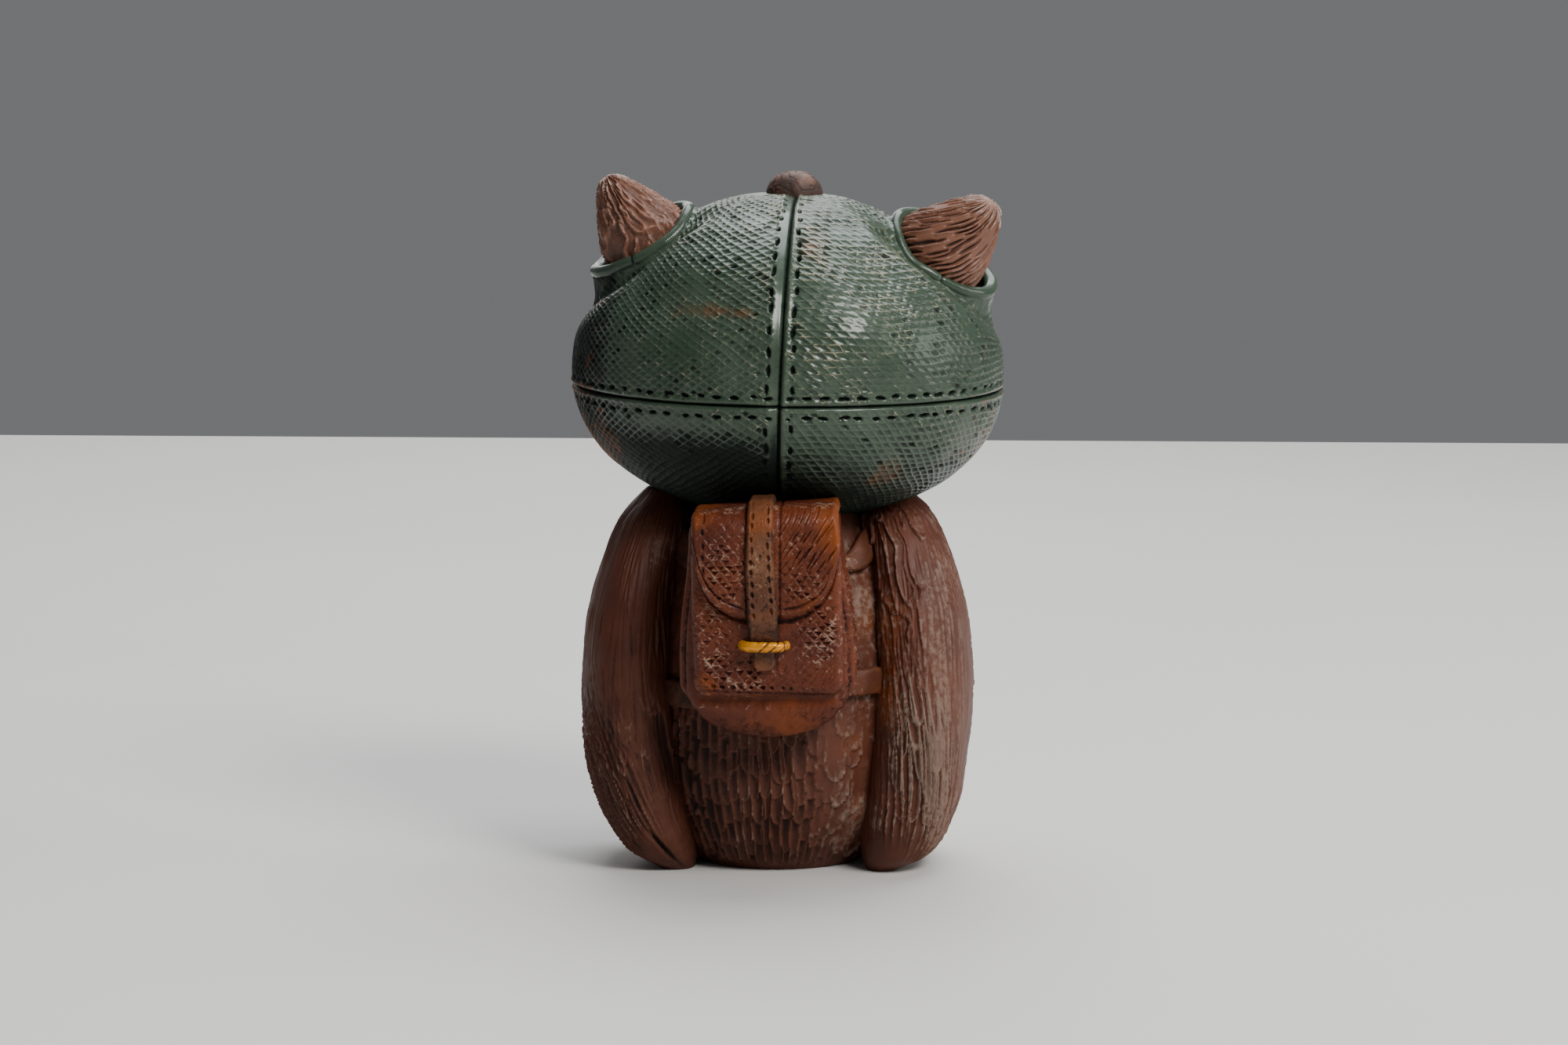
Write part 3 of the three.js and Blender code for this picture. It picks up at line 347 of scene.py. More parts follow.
@dataclass(frozen=True)
class StitchRow:
    """A row of stitch holes, none quite like the next. All sizes are millimetres."""

    pitch: float
    half_width: float
    seed: int
    wander: float = 0.25
    stray: float = 0.3
    twist: float = 0.0
    rim: float = 1.25

    def depth(self, along: Array, off: Array, half_length: Array | float) -> Array:
        """How deep each place is in a hole.

        Args:
            along: millimetres along the row.
            off: millimetres beside the row.
            half_length: half the length of a hole.

        Returns:
            Numbers from 0 to 1.
        """
        cell = np.floor(along / self.pitch)
        roll = scatter(cell, np.zeros_like(cell), self.seed) - 0.5
        other = scatter(cell, np.ones_like(cell), self.seed) - 0.5
        x = along - (cell + 0.5 + self.wander * roll) * self.pitch
        y = off + self.stray * other + self.twist * x * roll
        return smooth(self.rim, 0.6, np.hypot(x / (half_length * (1.0 + 0.5 * other)), y / self.half_width))


def zone(points: Array, x: float, z: float, wide: float, tall: float, lean: float = 0.0) -> Array:
    """A soft spot on the owl's back.

    Args:
        points: places on the owl.
        x: the middle of the spot.
        z: its height.
        wide: how far it reaches sideways.
        tall: how far it reaches up and down.
        lean: how far it moves sideways for each millimetre up.

    Returns:
        1 in its middle, 0 far away and on the owl's front.
    """
    up = points[:, 2] - z
    return bell(points[:, 0] - x - lean * up, wide) * bell(up, tall) * (points[:, 1] > 0.0)


def zones(points: Array, *spots: tuple[float, ...]) -> Array:
    """Some soft spots together.

    Args:
        points: places on the owl.
        spots: for each spot its strength, then what zone takes.

    Returns:
        The sum of the spots.
    """
    return sum(strength * zone(points, *spot) for strength, *spot in spots)


# Skins


@dataclass
class Skin:
    """A finely divided surface: a grid from bmesh whose vertices are moved to a form and carved."""

    across: int
    along: int
    place: Place
    carve: Callable[[Array, Array, Array], Marks]
    keep: Callable[[Array, Array], Array] | None = None
    middle: Point | None = None
    inward: bool = False

    def fill(self, bm: bmesh.types.BMesh) -> None:
        """Adds the skin to a bmesh.

        Args:
            bm: the bmesh that the skin is added to.
        """
        patch = bmesh.new()
        bmesh.ops.create_grid(patch, x_segments=self.across, y_segments=self.along, size=0.5)
        mesh = bpy.data.meshes.new("patch")
        patch.to_mesh(mesh)
        patch.free()
        count = len(mesh.vertices)
        spots = np.zeros(count * 3)
        mesh.vertices.foreach_get("co", spots)
        u, v = spots[0::3] + 0.5, spots[1::3] + 0.5
        points = self.place(u, v)
        middle = points.mean(axis=0) if self.middle is None else np.array(self.middle)
        carved = self.carve(u, v, points)
        points = points + self.outward(u, v, points - middle) * carved.pop("height")[:, None]
        mesh.vertices.foreach_set("co", (points * MM).ravel())
        for name, values in carved.items():
            layer = mesh.attributes.new(name, "FLOAT", "POINT")
            layer.data.foreach_set("value", np.broadcast_to(values, (count,)).astype(np.float32))
        sheet = bmesh.new()
        sheet.from_mesh(mesh)
        bpy.data.meshes.remove(mesh)
        if self.keep is not None:
            sheet.verts.ensure_lookup_table()
            lost = [sheet.verts[i] for i in np.flatnonzero(~self.keep(u, v))]
            bmesh.ops.delete(sheet, geom=lost, context="VERTS")
        rim = [vert for vert in sheet.verts if vert.is_boundary]
        bmesh.ops.remove_doubles(sheet, verts=rim, dist=2e-6)
        bmesh.ops.dissolve_degenerate(sheet, edges=sheet.edges, dist=1e-7)
        self.turn_outward(sheet, Vector(middle) * MM)
        joined = bpy.data.meshes.new("sheet")
        sheet.to_mesh(joined)
        sheet.free()
        bm.from_mesh(joined)
        bpy.data.meshes.remove(joined)

    def outward(self, u: Array, v: Array, away: Array) -> Array:
        """The form's outward direction at each vertex.

        Args:
            u: position across the grid, 0 to 1.
            v: position along the grid, 0 to 1.
            away: the way from the form's middle to each vertex.

        Returns:
            Unit vectors, one row each.
        """
        step = 1e-4
        inner = np.clip(v, 2 * step, 1.0 - 2 * step)
        ahead = self.place(u + step, inner) - self.place(u - step, inner)
        up = self.place(u, inner + step) - self.place(u, inner - step)
        normals = unit(np.cross(ahead, up))
        return -normals if np.sum(normals * away) < 0.0 else normals

    def turn_outward(self, sheet: bmesh.types.BMesh, middle: Vector) -> None:
        """Turns the faces away from the middle of the form, or towards it.

        Args:
            sheet: the patch after welding.
            middle: the form's middle, in metres.
        """
        facing = 0.0
        for face in sheet.faces:
            face.smooth = True
            facing += face.normal.dot(face.verts[0].co - middle) * face.calc_area()
        if (facing < 0.0) != self.inward:
            bmesh.ops.reverse_faces(sheet, faces=sheet.faces)


def plain(u: Array, v: Array, points: Array) -> Marks:
    """Leaves a form smooth but for the unevenness of hand work."""
    rough = lump(points, 3.0, 3)
    return marks(0.06 * rough, 0.5 + 0.25 * rough, 0.3, 0.0)


def raise_piece(node: str, skins: list[Skin], finish: bpy.types.Material, name: str = "") -> None:
    """Makes one object of some skins and ties it to the frame.

    Args:
        node: the CAD node that it stands for.
        skins: the skins that it is made of.
        finish: its material.
        name: the piece's name, where it isn't the node's with skin before it.
    """
    name = name or f"skin_{node}"
    bm = bmesh.new()
    for skin in skins:
        skin.fill(bm)
    mesh = bpy.data.meshes.new(name)
    bm.to_mesh(mesh)
    bm.free()
    mesh.materials.append(finish)
    piece = bpy.data.objects.new(name, mesh)
    bpy.context.scene.collection.objects.link(piece)
    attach(piece, "root")
    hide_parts(node)
    LOG.info("%s: %d vertices, stands for %s", name, len(mesh.vertices), node)


def catmull(knots: Array, share: Array) -> Array:
    """A smooth curve through some knots.

    Args:
        knots: one row of numbers for each knot.
        share: where on the curve, 0 to 1.

    Returns:
        One row for each share.
    """
    count = len(knots) - 1
    padded = np.vstack([2 * knots[0] - knots[1], knots, 2 * knots[-1] - knots[-2]])
    at = np.clip(share, 0.0, 1.0) * count
    index = np.minimum(np.floor(at).astype(int), count - 1)
    f = (at - index)[:, None]
    p0, p1, p2, p3 = (padded[index + k] for k in range(4))
    return 0.5 * (2 * p1 + (p2 - p0) * f + (2 * p0 - 5 * p1 + 4 * p2 - p3) * f**2
                  + (3 * p1 - p0 - 3 * p2 + p3) * f**3)


def pace(line: Array) -> Array:
    """How long a line is up to each of its points."""
    return np.concatenate([[0.0], np.cumsum(np.hypot(*np.diff(line, axis=0).T))])


def profile_at(rows: list[tuple[float, float]], share: Array) -> tuple[Array, Array]:
    """Walks along a line of points at an even pace.

    Args:
        rows: the line's points.
        share: how far along, 0 to 1.

    Returns:
        Both coordinates there.
    """
    line = np.array(rows)
    length = pace(line)
    at = np.clip(share, 0.0, 1.0) * length[-1]
    return np.interp(at, length, line[:, 0]), np.interp(at, length, line[:, 1])


# Finishes


class Paint:
    """Builds a material's nodes."""

    def __init__(self, name: str, tree: bpy.types.NodeTree | None = None) -> None:
        """Starts a material, or goes on with a node group's tree.

        Args:
            name: the material's name.
            tree: the tree of a node group, where the paint is inside one.
        """
        self.material = None
        if tree is None:
            self.material = bpy.data.materials.new(name)
            self.material.use_nodes = True
            tree = self.material.node_tree
            tree.nodes.clear()
            self.shader = tree.nodes.new("ShaderNodeBsdfPrincipled")
            output = tree.nodes.new("ShaderNodeOutputMaterial")
            tree.links.new(self.shader.outputs["BSDF"], output.inputs["Surface"])
        self.tree = tree

    def node(self, kind: str, **settings: object) -> bpy.types.Node:
        """Adds a node and sets its properties.

        Args:
            kind: the node's type.
            settings: its properties, by name.

        Returns:
            The node.
        """
        made = self.tree.nodes.new(kind)
        for key, value in settings.items():
            setattr(made, key, value)
        return made

    def feed(self, socket: bpy.types.NodeSocket, value: object) -> None:
        """Links a socket to another, or sets its value.

        Args:
            socket: the socket that is fed.
            value: another socket, a number or a colour.
        """
        if isinstance(value, bpy.types.NodeSocket):
            self.tree.links.new(value, socket)
        else:
            socket.default_value = value

    def value(self, name: str) -> bpy.types.NodeSocket:
        """Reads one of the piece's own attributes."""
        return self.node("ShaderNodeAttribute", attribute_name=name).outputs["Fac"]

    def spot(self, stretch: Point = (1.0, 1.0, 1.0)) -> bpy.types.NodeSocket:
        """The object's own coordinates, stretched.

        Args:
            stretch: how much each axis is stretched.

        Returns:
            The socket with the result.
        """
        place = self.node("ShaderNodeTexCoord")
        mapping = self.node("ShaderNodeMapping")
        mapping.inputs["Scale"].default_value = stretch
        self.feed(mapping.inputs["Vector"], place.outputs["Object"])
        return mapping.outputs["Vector"]

    def noise(self, scale: float, detail: float = 3.0, rough: float = 0.55,
              stretch: Point = (1.0, 1.0, 1.0)) -> bpy.types.NodeSocket:
        """Noise over the piece, in lumps per metre.

        Args:
            scale: lumps per metre.
            detail: finer layers in the noise.
            rough: the share of the finer layers.
            stretch: how much each axis is stretched.

        Returns:
            The socket with the result.
        """
        made = self.node("ShaderNodeTexNoise")
        self.feed(made.inputs["Vector"], self.spot(stretch))
        self.feed(made.inputs["Scale"], scale)
        self.feed(made.inputs["Detail"], detail)
        self.feed(made.inputs["Roughness"], rough)
        return made.outputs["Fac"]

    def ramp(self, value: object, low: float, high: float, bottom: float = 0.0, top: float = 1.0
             ) -> bpy.types.NodeSocket:
        """Steps a value smoothly between two levels.

        Args:
            value: what is stepped.
            low: where the step starts.
            high: where it ends.
            bottom: the result below the step.
            top: the result above it.

        Returns:
            The socket with the result.
        """
        made = self.node("ShaderNodeMapRange", interpolation_type="SMOOTHSTEP")
        for key, number in (("Value", value), ("From Min", low), ("From Max", high), ("To Min", bottom),
                            ("To Max", top)):
            self.feed(made.inputs[key], number)
        return made.outputs["Result"]

    def math(self, what: str, first: object, second: object = 0.0) -> bpy.types.NodeSocket:
        """Works out one sum.

        Args:
            what: the sum's name.
            first: its first number.
            second: its second number.

        Returns:
            The socket with the result.
        """
        made = self.node("ShaderNodeMath", operation=what)
        self.feed(made.inputs[0], first)
        self.feed(made.inputs[1], second)
        return made.outputs["Value"]

    def mix(self, share: object, first: object, second: object) -> bpy.types.NodeSocket:
        """Mixes two colours.

        Args:
            share: the share of the second colour, 0 to 1.
            first: a colour.
            second: a colour.

        Returns:
            The socket with the result.
        """
        made = self.node("ShaderNodeMix", data_type="RGBA")
        self.feed(made.inputs["Factor"], share)
        self.feed(made.inputs["A"], first)
        self.feed(made.inputs["B"], second)
        return made.outputs["Result"]

    def net_line(self) -> bpy.types.NodeSocket:
        """How near each place is to a line of the pressed net, counted in two attributes of the piece.

        Returns:
            The socket with the nearness, 0 to 1.
        """
        wobble = self.math("MULTIPLY", self.math("SUBTRACT", self.noise(1500.0, 2.0), 0.5), 0.3)
        gaps = []
        for name in ("net_a", "net_b"):
            part = self.math("FRACT", self.math("ADD", self.value(name), wobble))
            gaps.append(self.math("ABSOLUTE", self.math("SUBTRACT", part, 0.5)))
        return self.ramp(self.math("MAXIMUM", gaps[0], gaps[1]), 0.32, 0.48)

    def bump(self, height: bpy.types.NodeSocket, depth: float) -> None:
        """Roughens the surface by a height of up to so many metres.

        Args:
            height: the height, 0 to 1.
            depth: the height's full size in metres.
        """
        made = self.node("ShaderNodeBump")
        self.feed(made.inputs["Strength"], 1.0)
        self.feed(made.inputs["Distance"], depth)
        self.feed(made.inputs["Height"], height)
        self.feed(self.shader.inputs["Normal"], made.outputs["Normal"])


def rgb(red: float, green: float, blue: float) -> tuple[float, float, float, float]:
    """A full colour of three linear shares."""
    return (red, green, blue, 1.0)


Tone = tuple[float, float, float, float]


class PaintGroup:
    """The painter's layers that all clay finishes share: mottled ground, dark wash, dry brush and patina."""

    NAME = "hand_paint"
    INPUTS = (("Ground", "NodeSocketColor"), ("Ground Two", "NodeSocketColor"), ("Wash", "NodeSocketColor"),
              ("Brush", "NodeSocketColor"), ("Patina", "NodeSocketColor"), ("Relief", "NodeSocketFloat"),
              ("Brush Mask", "NodeSocketFloat"), ("Patina Mask", "NodeSocketFloat"),
              ("Wash Strength", "NodeSocketFloat"), ("Brush Strength", "NodeSocketFloat"),
              ("Gloss", "NodeSocketFloat"), ("Grain", "NodeSocketFloat"), ("Varnish", "NodeSocketFloat"),
              ("Mottle", "NodeSocketFloat"))

    def build(self) -> bpy.types.NodeTree:
        """Makes the group once.

        Returns:
            The group's node tree.
        """
        if self.NAME in bpy.data.node_groups:
            return bpy.data.node_groups[self.NAME]
        tree = bpy.data.node_groups.new(self.NAME, "ShaderNodeTree")
        for name, kind in self.INPUTS:
            tree.interface.new_socket(name=name, in_out="INPUT", socket_type=kind)
        for name, kind in (("Color", "NodeSocketColor"), ("Roughness", "NodeSocketFloat"),
                           ("Coat", "NodeSocketFloat"), ("Height", "NodeSocketFloat")):
            tree.interface.new_socket(name=name, in_out="OUTPUT", socket_type=kind)
        paint = Paint(self.NAME, tree)
        given = paint.node("NodeGroupInput").outputs
        out = paint.node("NodeGroupOutput").inputs
        broad = paint.noise(85.0, 4.0, 0.6)
        fine = paint.noise(800.0, 3.0, 0.6)
        speck = paint.noise(2400.0, 2.0, 0.5)
        ground = paint.mix(paint.ramp(broad, 0.35, 0.65), given["Ground"], given["Ground Two"])
        mottle = paint.math("ADD", paint.math("SUBTRACT", fine, 0.5), paint.math("SUBTRACT", speck, 0.5))
        uneven = paint.math("ADD", given["Relief"], paint.math("MULTIPLY", mottle, given["Mottle"]))
        # The dark wash also lays the painted shade that some pieces put into their relief.
        deep = paint.math("MULTIPLY", paint.ramp(uneven, 0.5, 0.06), given["Wash Strength"])
        washed = paint.mix(deep, ground, given["Wash"])
        patch = paint.ramp(paint.math("ADD", given["Patina Mask"], paint.math("SUBTRACT", broad, 0.5)),
                           0.3, 0.75)
        aged = paint.mix(paint.math("MULTIPLY", patch, 0.9), washed, given["Patina"])
        high = paint.ramp(uneven, 0.6, 0.95)
        broken = paint.ramp(paint.math("ADD", fine, paint.math("MULTIPLY", given["Brush Mask"], 0.4)),
                            0.5, 0.8)
        dry = paint.math("MULTIPLY", paint.math("MULTIPLY", high, broken), given["Brush Strength"])
        paint.feed(out["Color"], paint.mix(dry, aged, given["Brush"]))
        rough = paint.math("ADD", given["Gloss"],
                           paint.math("MULTIPLY", paint.math("SUBTRACT", fine, 0.5), 0.3))
        rough = paint.math("ADD", rough, paint.math("MULTIPLY", dry, 0.2))
        paint.feed(out["Roughness"], paint.math("ADD", rough, paint.math("MULTIPLY", deep, 0.28)))
        paint.feed(out["Coat"], paint.math("MULTIPLY", paint.math("SUBTRACT", 1.0, deep), given["Varnish"]))
        grain = paint.math("ADD", paint.math("MULTIPLY", fine, 0.6),
                           paint.math("MULTIPLY", speck, given["Grain"]))
        paint.feed(out["Height"], grain)
        return tree


@dataclass(frozen=True)
class ClayFinish:
    """Painted clay: the colour and strength of each layer, how it shines and whether a net is pressed in."""

    name: str
    ground: Tone
    second: Tone
    wash: Tone
    brush: Tone
    patina: Tone
    wash_strength: float = 0.85
    brush_strength: float = 0.6
    gloss: float = 0.6
    grain: float = 0.3
    mottle: float = 0.24
    bump: float = 0.00006
    coat: float = 0.0
    metallic: float = 0.0
    specular: float = 0.5
    net_depth: float = 0.0

    def build(self) -> bpy.types.Material:
        """Makes the material.

        Returns:
            The new material.
        """
        paint = Paint(self.name)
        layers = paint.node("ShaderNodeGroup", node_tree=PaintGroup().build())
        relief, height, depth = paint.value("relief"), layers.outputs["Height"], self.bump
        if self.net_depth:
            depth = self.net_depth
            torn = paint.ramp(paint.noise(420.0, 3.0), 0.38, 0.62, 0.15, 1.0)
            raised = paint.math("MULTIPLY", paint.math("MULTIPLY", paint.net_line(), torn),
                                paint.value("net"))
            relief = paint.math("ADD", relief, paint.math("MULTIPLY", raised, 0.3))
            height = paint.math("ADD", paint.math("MULTIPLY", height, self.bump / depth), raised)
        values = {"Ground": self.ground, "Ground Two": self.second, "Wash": self.wash, "Brush": self.brush,
                  "Patina": self.patina, "Relief": relief, "Brush Mask": paint.value("brush"),
                  "Patina Mask": paint.value("patina"), "Wash Strength": self.wash_strength,
                  "Brush Strength": self.brush_strength, "Gloss": self.gloss, "Grain": self.grain,
                  "Varnish": self.coat, "Mottle": self.mottle}
        for key, value in values.items():
            paint.feed(layers.inputs[key], value)
        paint.feed(paint.shader.inputs["Base Color"], layers.outputs["Color"])
        paint.feed(paint.shader.inputs["Roughness"], layers.outputs["Roughness"])
        if self.coat:
            paint.feed(paint.shader.inputs["Coat Weight"], layers.outputs["Coat"])
            paint.feed(paint.shader.inputs["Coat Roughness"], 0.2)
        paint.feed(paint.shader.inputs["Metallic"], self.metallic)
        paint.feed(paint.shader.inputs["Specular IOR Level"], self.specular)
        paint.bump(height, depth)
        return paint.material


CAP = ClayFinish("cap_glaze", rgb(0.027, 0.047, 0.029), rgb(0.042, 0.064, 0.042), rgb(0.003, 0.0055, 0.0045),
                 rgb(0.42, 0.38, 0.25), rgb(0.13, 0.042, 0.010), wash_strength=0.92, brush_strength=0.55,
                 gloss=0.38, mottle=0.34, bump=0.00006, coat=0.52, specular=0.12, net_depth=0.00024)
FEATHER = ClayFinish("feather_clay", rgb(0.068, 0.0185, 0.0095), rgb(0.092, 0.028, 0.015),
                     rgb(0.007, 0.0024, 0.0018), rgb(0.245, 0.185, 0.145), rgb(0.17, 0.042, 0.009),
                     wash_strength=0.9, brush_strength=0.55, gloss=0.52, specular=0.25)
TUFT = ClayFinish("tuft_clay", rgb(0.13, 0.048, 0.025), rgb(0.175, 0.070, 0.040), rgb(0.013, 0.0045, 0.003),
                  rgb(0.47, 0.39, 0.35), rgb(0.20, 0.062, 0.018), wash_strength=0.9, brush_strength=0.7,
                  gloss=0.5)
PACK = ClayFinish("pack_leather", rgb(0.072, 0.0165, 0.0085), rgb(0.112, 0.026, 0.010),
                  rgb(0.011, 0.0035, 0.0035), rgb(0.38, 0.26, 0.19), rgb(0.175, 0.040, 0.006),
                  wash_strength=0.92, brush_strength=0.62, gloss=0.45, grain=0.6, mottle=0.6, bump=0.00012,
                  coat=0.12, specular=0.14)
STRAP = ClayFinish("strap_leather", rgb(0.075, 0.024, 0.009), rgb(0.12, 0.044, 0.019),
                   rgb(0.010, 0.0035, 0.002), rgb(0.38, 0.25, 0.15), rgb(0.16, 0.040, 0.007),
                   wash_strength=0.9, brush_strength=0.6, gloss=0.48, grain=0.6, mottle=0.5, bump=0.0001,
                   specular=0.3)
YOKE = ClayFinish("yoke_leather", rgb(0.068, 0.019, 0.008), rgb(0.095, 0.029, 0.013),
                  rgb(0.008, 0.003, 0.002), rgb(0.38, 0.27, 0.19), rgb(0.15, 0.035, 0.007),
                  brush_strength=0.6, gloss=0.48, mottle=0.4, specular=0.3)
GOLD = ClayFinish("gold_paint", rgb(0.58, 0.21, 0.003), rgb(0.74, 0.32, 0.008), rgb(0.07, 0.02, 0.003),
                  rgb(0.95, 0.62, 0.12), rgb(0.40, 0.12, 0.004), wash_strength=0.9, brush_strength=0.3,
                  gloss=0.34, mottle=0.5, metallic=0.4)
FACE = ClayFinish("face_clay", rgb(0.26, 0.15, 0.080), rgb(0.34, 0.21, 0.12), rgb(0.04, 0.018, 0.010),
                  rgb(0.66, 0.55, 0.42), rgb(0.22, 0.09, 0.03), wash_strength=0.9, brush_strength=0.6,
                  gloss=0.6)
FOOT = ClayFinish("foot_clay", rgb(0.20, 0.09, 0.035), rgb(0.26, 0.125, 0.055), rgb(0.03, 0.012, 0.006),
                  rgb(0.52, 0.38, 0.24), rgb(0.26, 0.09, 0.025), gloss=0.55)
HORN = ClayFinish("horn_clay", rgb(0.022, 0.016, 0.013), rgb(0.038, 0.028, 0.022), rgb(0.006, 0.005, 0.004),
                  rgb(0.24, 0.19, 0.15), rgb(0.07, 0.035, 0.012), brush_strength=0.45, gloss=0.34)


@dataclass(frozen=True)
class EyeFinish:
    """A painted glazed eye: black pupil, amber iris with fine spokes, dark rim, all under a clear coat."""

    centre: Point
    pupil: float = 2.9
    iris: float = 6.1

    def build(self, name: str) -> bpy.types.Material:
        """Makes the material.

        Args:
            name: the material's name.

        Returns:
            The new material.
        """
        paint = Paint(name)
        reach = paint.node("ShaderNodeVectorMath", operation="DISTANCE")
        paint.feed(reach.inputs[0], paint.spot())
        paint.feed(reach.inputs[1], tuple(value * MM for value in self.centre))
        far = reach.outputs["Value"]
        spokes = paint.noise(700.0, 4.0, 0.7)
        amber = paint.mix(paint.ramp(spokes, 0.35, 0.7), rgb(0.42, 0.16, 0.02), rgb(0.80, 0.42, 0.06))
        edge = paint.mix(paint.ramp(far, (self.iris - 1.2) * MM, self.iris * MM), amber,
                         rgb(0.03, 0.015, 0.008))
        inner = paint.ramp(far, self.pupil * MM, (self.pupil + 0.35) * MM)
        paint.feed(paint.shader.inputs["Base Color"], paint.mix(inner, rgb(0.004, 0.004, 0.004), edge))
        paint.feed(paint.shader.inputs["Roughness"], 0.12)
        paint.feed(paint.shader.inputs["Coat Weight"], 1.0)
        paint.feed(paint.shader.inputs["Coat Roughness"], 0.03)
        return paint.material


@dataclass(frozen=True)
class HiddenFinish:
    """What the pieces inside are made of: a mottled colour with a fine bump."""

    name: str
    light: Tone
    dark: Tone
    scale: float
    rough: float
    metallic: float = 0.0
    stretch: Point = (1.0, 1.0, 1.0)

    def build(self) -> bpy.types.Material:
        """Makes the material.

        Returns:
            The new material.
        """
        paint = Paint(self.name)
        mottle = paint.noise(self.scale, 4.0, 0.65, self.stretch)
        paint.feed(paint.shader.inputs["Base Color"], paint.mix(mottle, self.dark, self.light))
        paint.feed(paint.shader.inputs["Roughness"],
                   paint.ramp(mottle, 0.0, 1.0, self.rough - 0.1, self.rough + 0.1))
        paint.feed(paint.shader.inputs["Metallic"], self.metallic)
        paint.bump(mottle, 0.0004)
        return paint.material


# The head and its cap


@dataclass(frozen=True)
class HeadForm:
    """The rounded head that the cap, the ears and the face lie on."""

    half_width: float = 43.6
    half_depth: float = 41.0
    upper: float = 35.6
    upper_power: float = 2.1
    lower: float = 29.5
    lower_power: float = 2.25
    x: float = -2.0
    z: float = 99.7
    tilt: float = -2.2
    seam_drop: float = 3.1
    seam_x: float = -0.6
    seam_slope: tuple[float, float] = (0.0262, 0.0227)

    def at(self, turn: Array, rise: Array, depth: float = 0.0) -> Array:
        """A point of the form in the head's own frame.

        Args:
            turn: the angle from the back, towards the owl's left.
            rise: the angle above the head's middle.
            depth: how far below the surface.

        Returns:
            Places in millimetres.
        """
        up = rise >= 0.0
        power = 2.0 / np.where(up, self.upper_power, self.lower_power)
        reach = np.where(up, self.upper, self.lower) - depth
        level = np.abs(np.sin(rise)) ** power * np.where(up, 1.0, -1.0)
        ring = np.maximum(np.cos(rise), 0.0) ** power
        return xyz((self.half_width - depth) * np.sin(turn) * ring,
                   (self.half_depth - depth) * np.cos(turn) * ring, reach * level)

    def seam_rise(self, turn: Array) -> Array:
        """The angle at which the level seam runs, for each turn."""
        level = (-self.seam_drop - self.seam_slope[0] * self.half_width * np.sin(turn)
                 - self.seam_slope[1] * self.half_depth * np.cos(turn))
        return -np.arcsin((np.abs(level) / self.lower) ** (self.lower_power / 2.0))

    def seam_height(self, points: Array) -> Array:
        """How far each point is above the level seam."""
        x, y, z = points.T
        return z + self.seam_drop + self.seam_slope[0] * x + self.seam_slope[1] * y

    def to_world(self, points: Array) -> Array:
        """Takes places from the head's frame to the owl's.

        Args:
            points: places in millimetres, three numbers a row.

        Returns:
            The places, three numbers a row.
        """
        tilt = math.radians(self.tilt)
        x, y, z = points.T
        return xyz(x * math.cos(tilt) + z * math.sin(tilt) + self.x, y,
                   z * math.cos(tilt) - x * math.sin(tilt) + self.z)

    def front(self, x: Array, z: Array, depth: float = 0.0) -> Array:
        """The point on the face side at x and z, in the head's frame.

        Args:
            x: millimetres to the right.
            z: millimetres up.
            depth: how far below the head's surface.

        Returns:
            The places, three numbers a row.
        """
        up = z >= 0.0
        power = np.where(up, self.upper_power, self.lower_power)
        reach = np.where(up, self.upper, self.lower) - depth
        ring = np.maximum(0.0, 1.0 - (np.abs(z) / reach) ** power) ** (1.0 / power)
        share = x / (self.half_width - depth)
        y = -(self.half_depth - depth) * np.sqrt(np.maximum(0.0, ring**2 - share**2))
        return xyz(x, y, z)

    def spot(self, point: Array) -> Point:
        """Takes one place from the head's frame to the owl's."""
        return tuple(self.to_world(np.atleast_2d(point))[0])


HEAD = HeadForm()


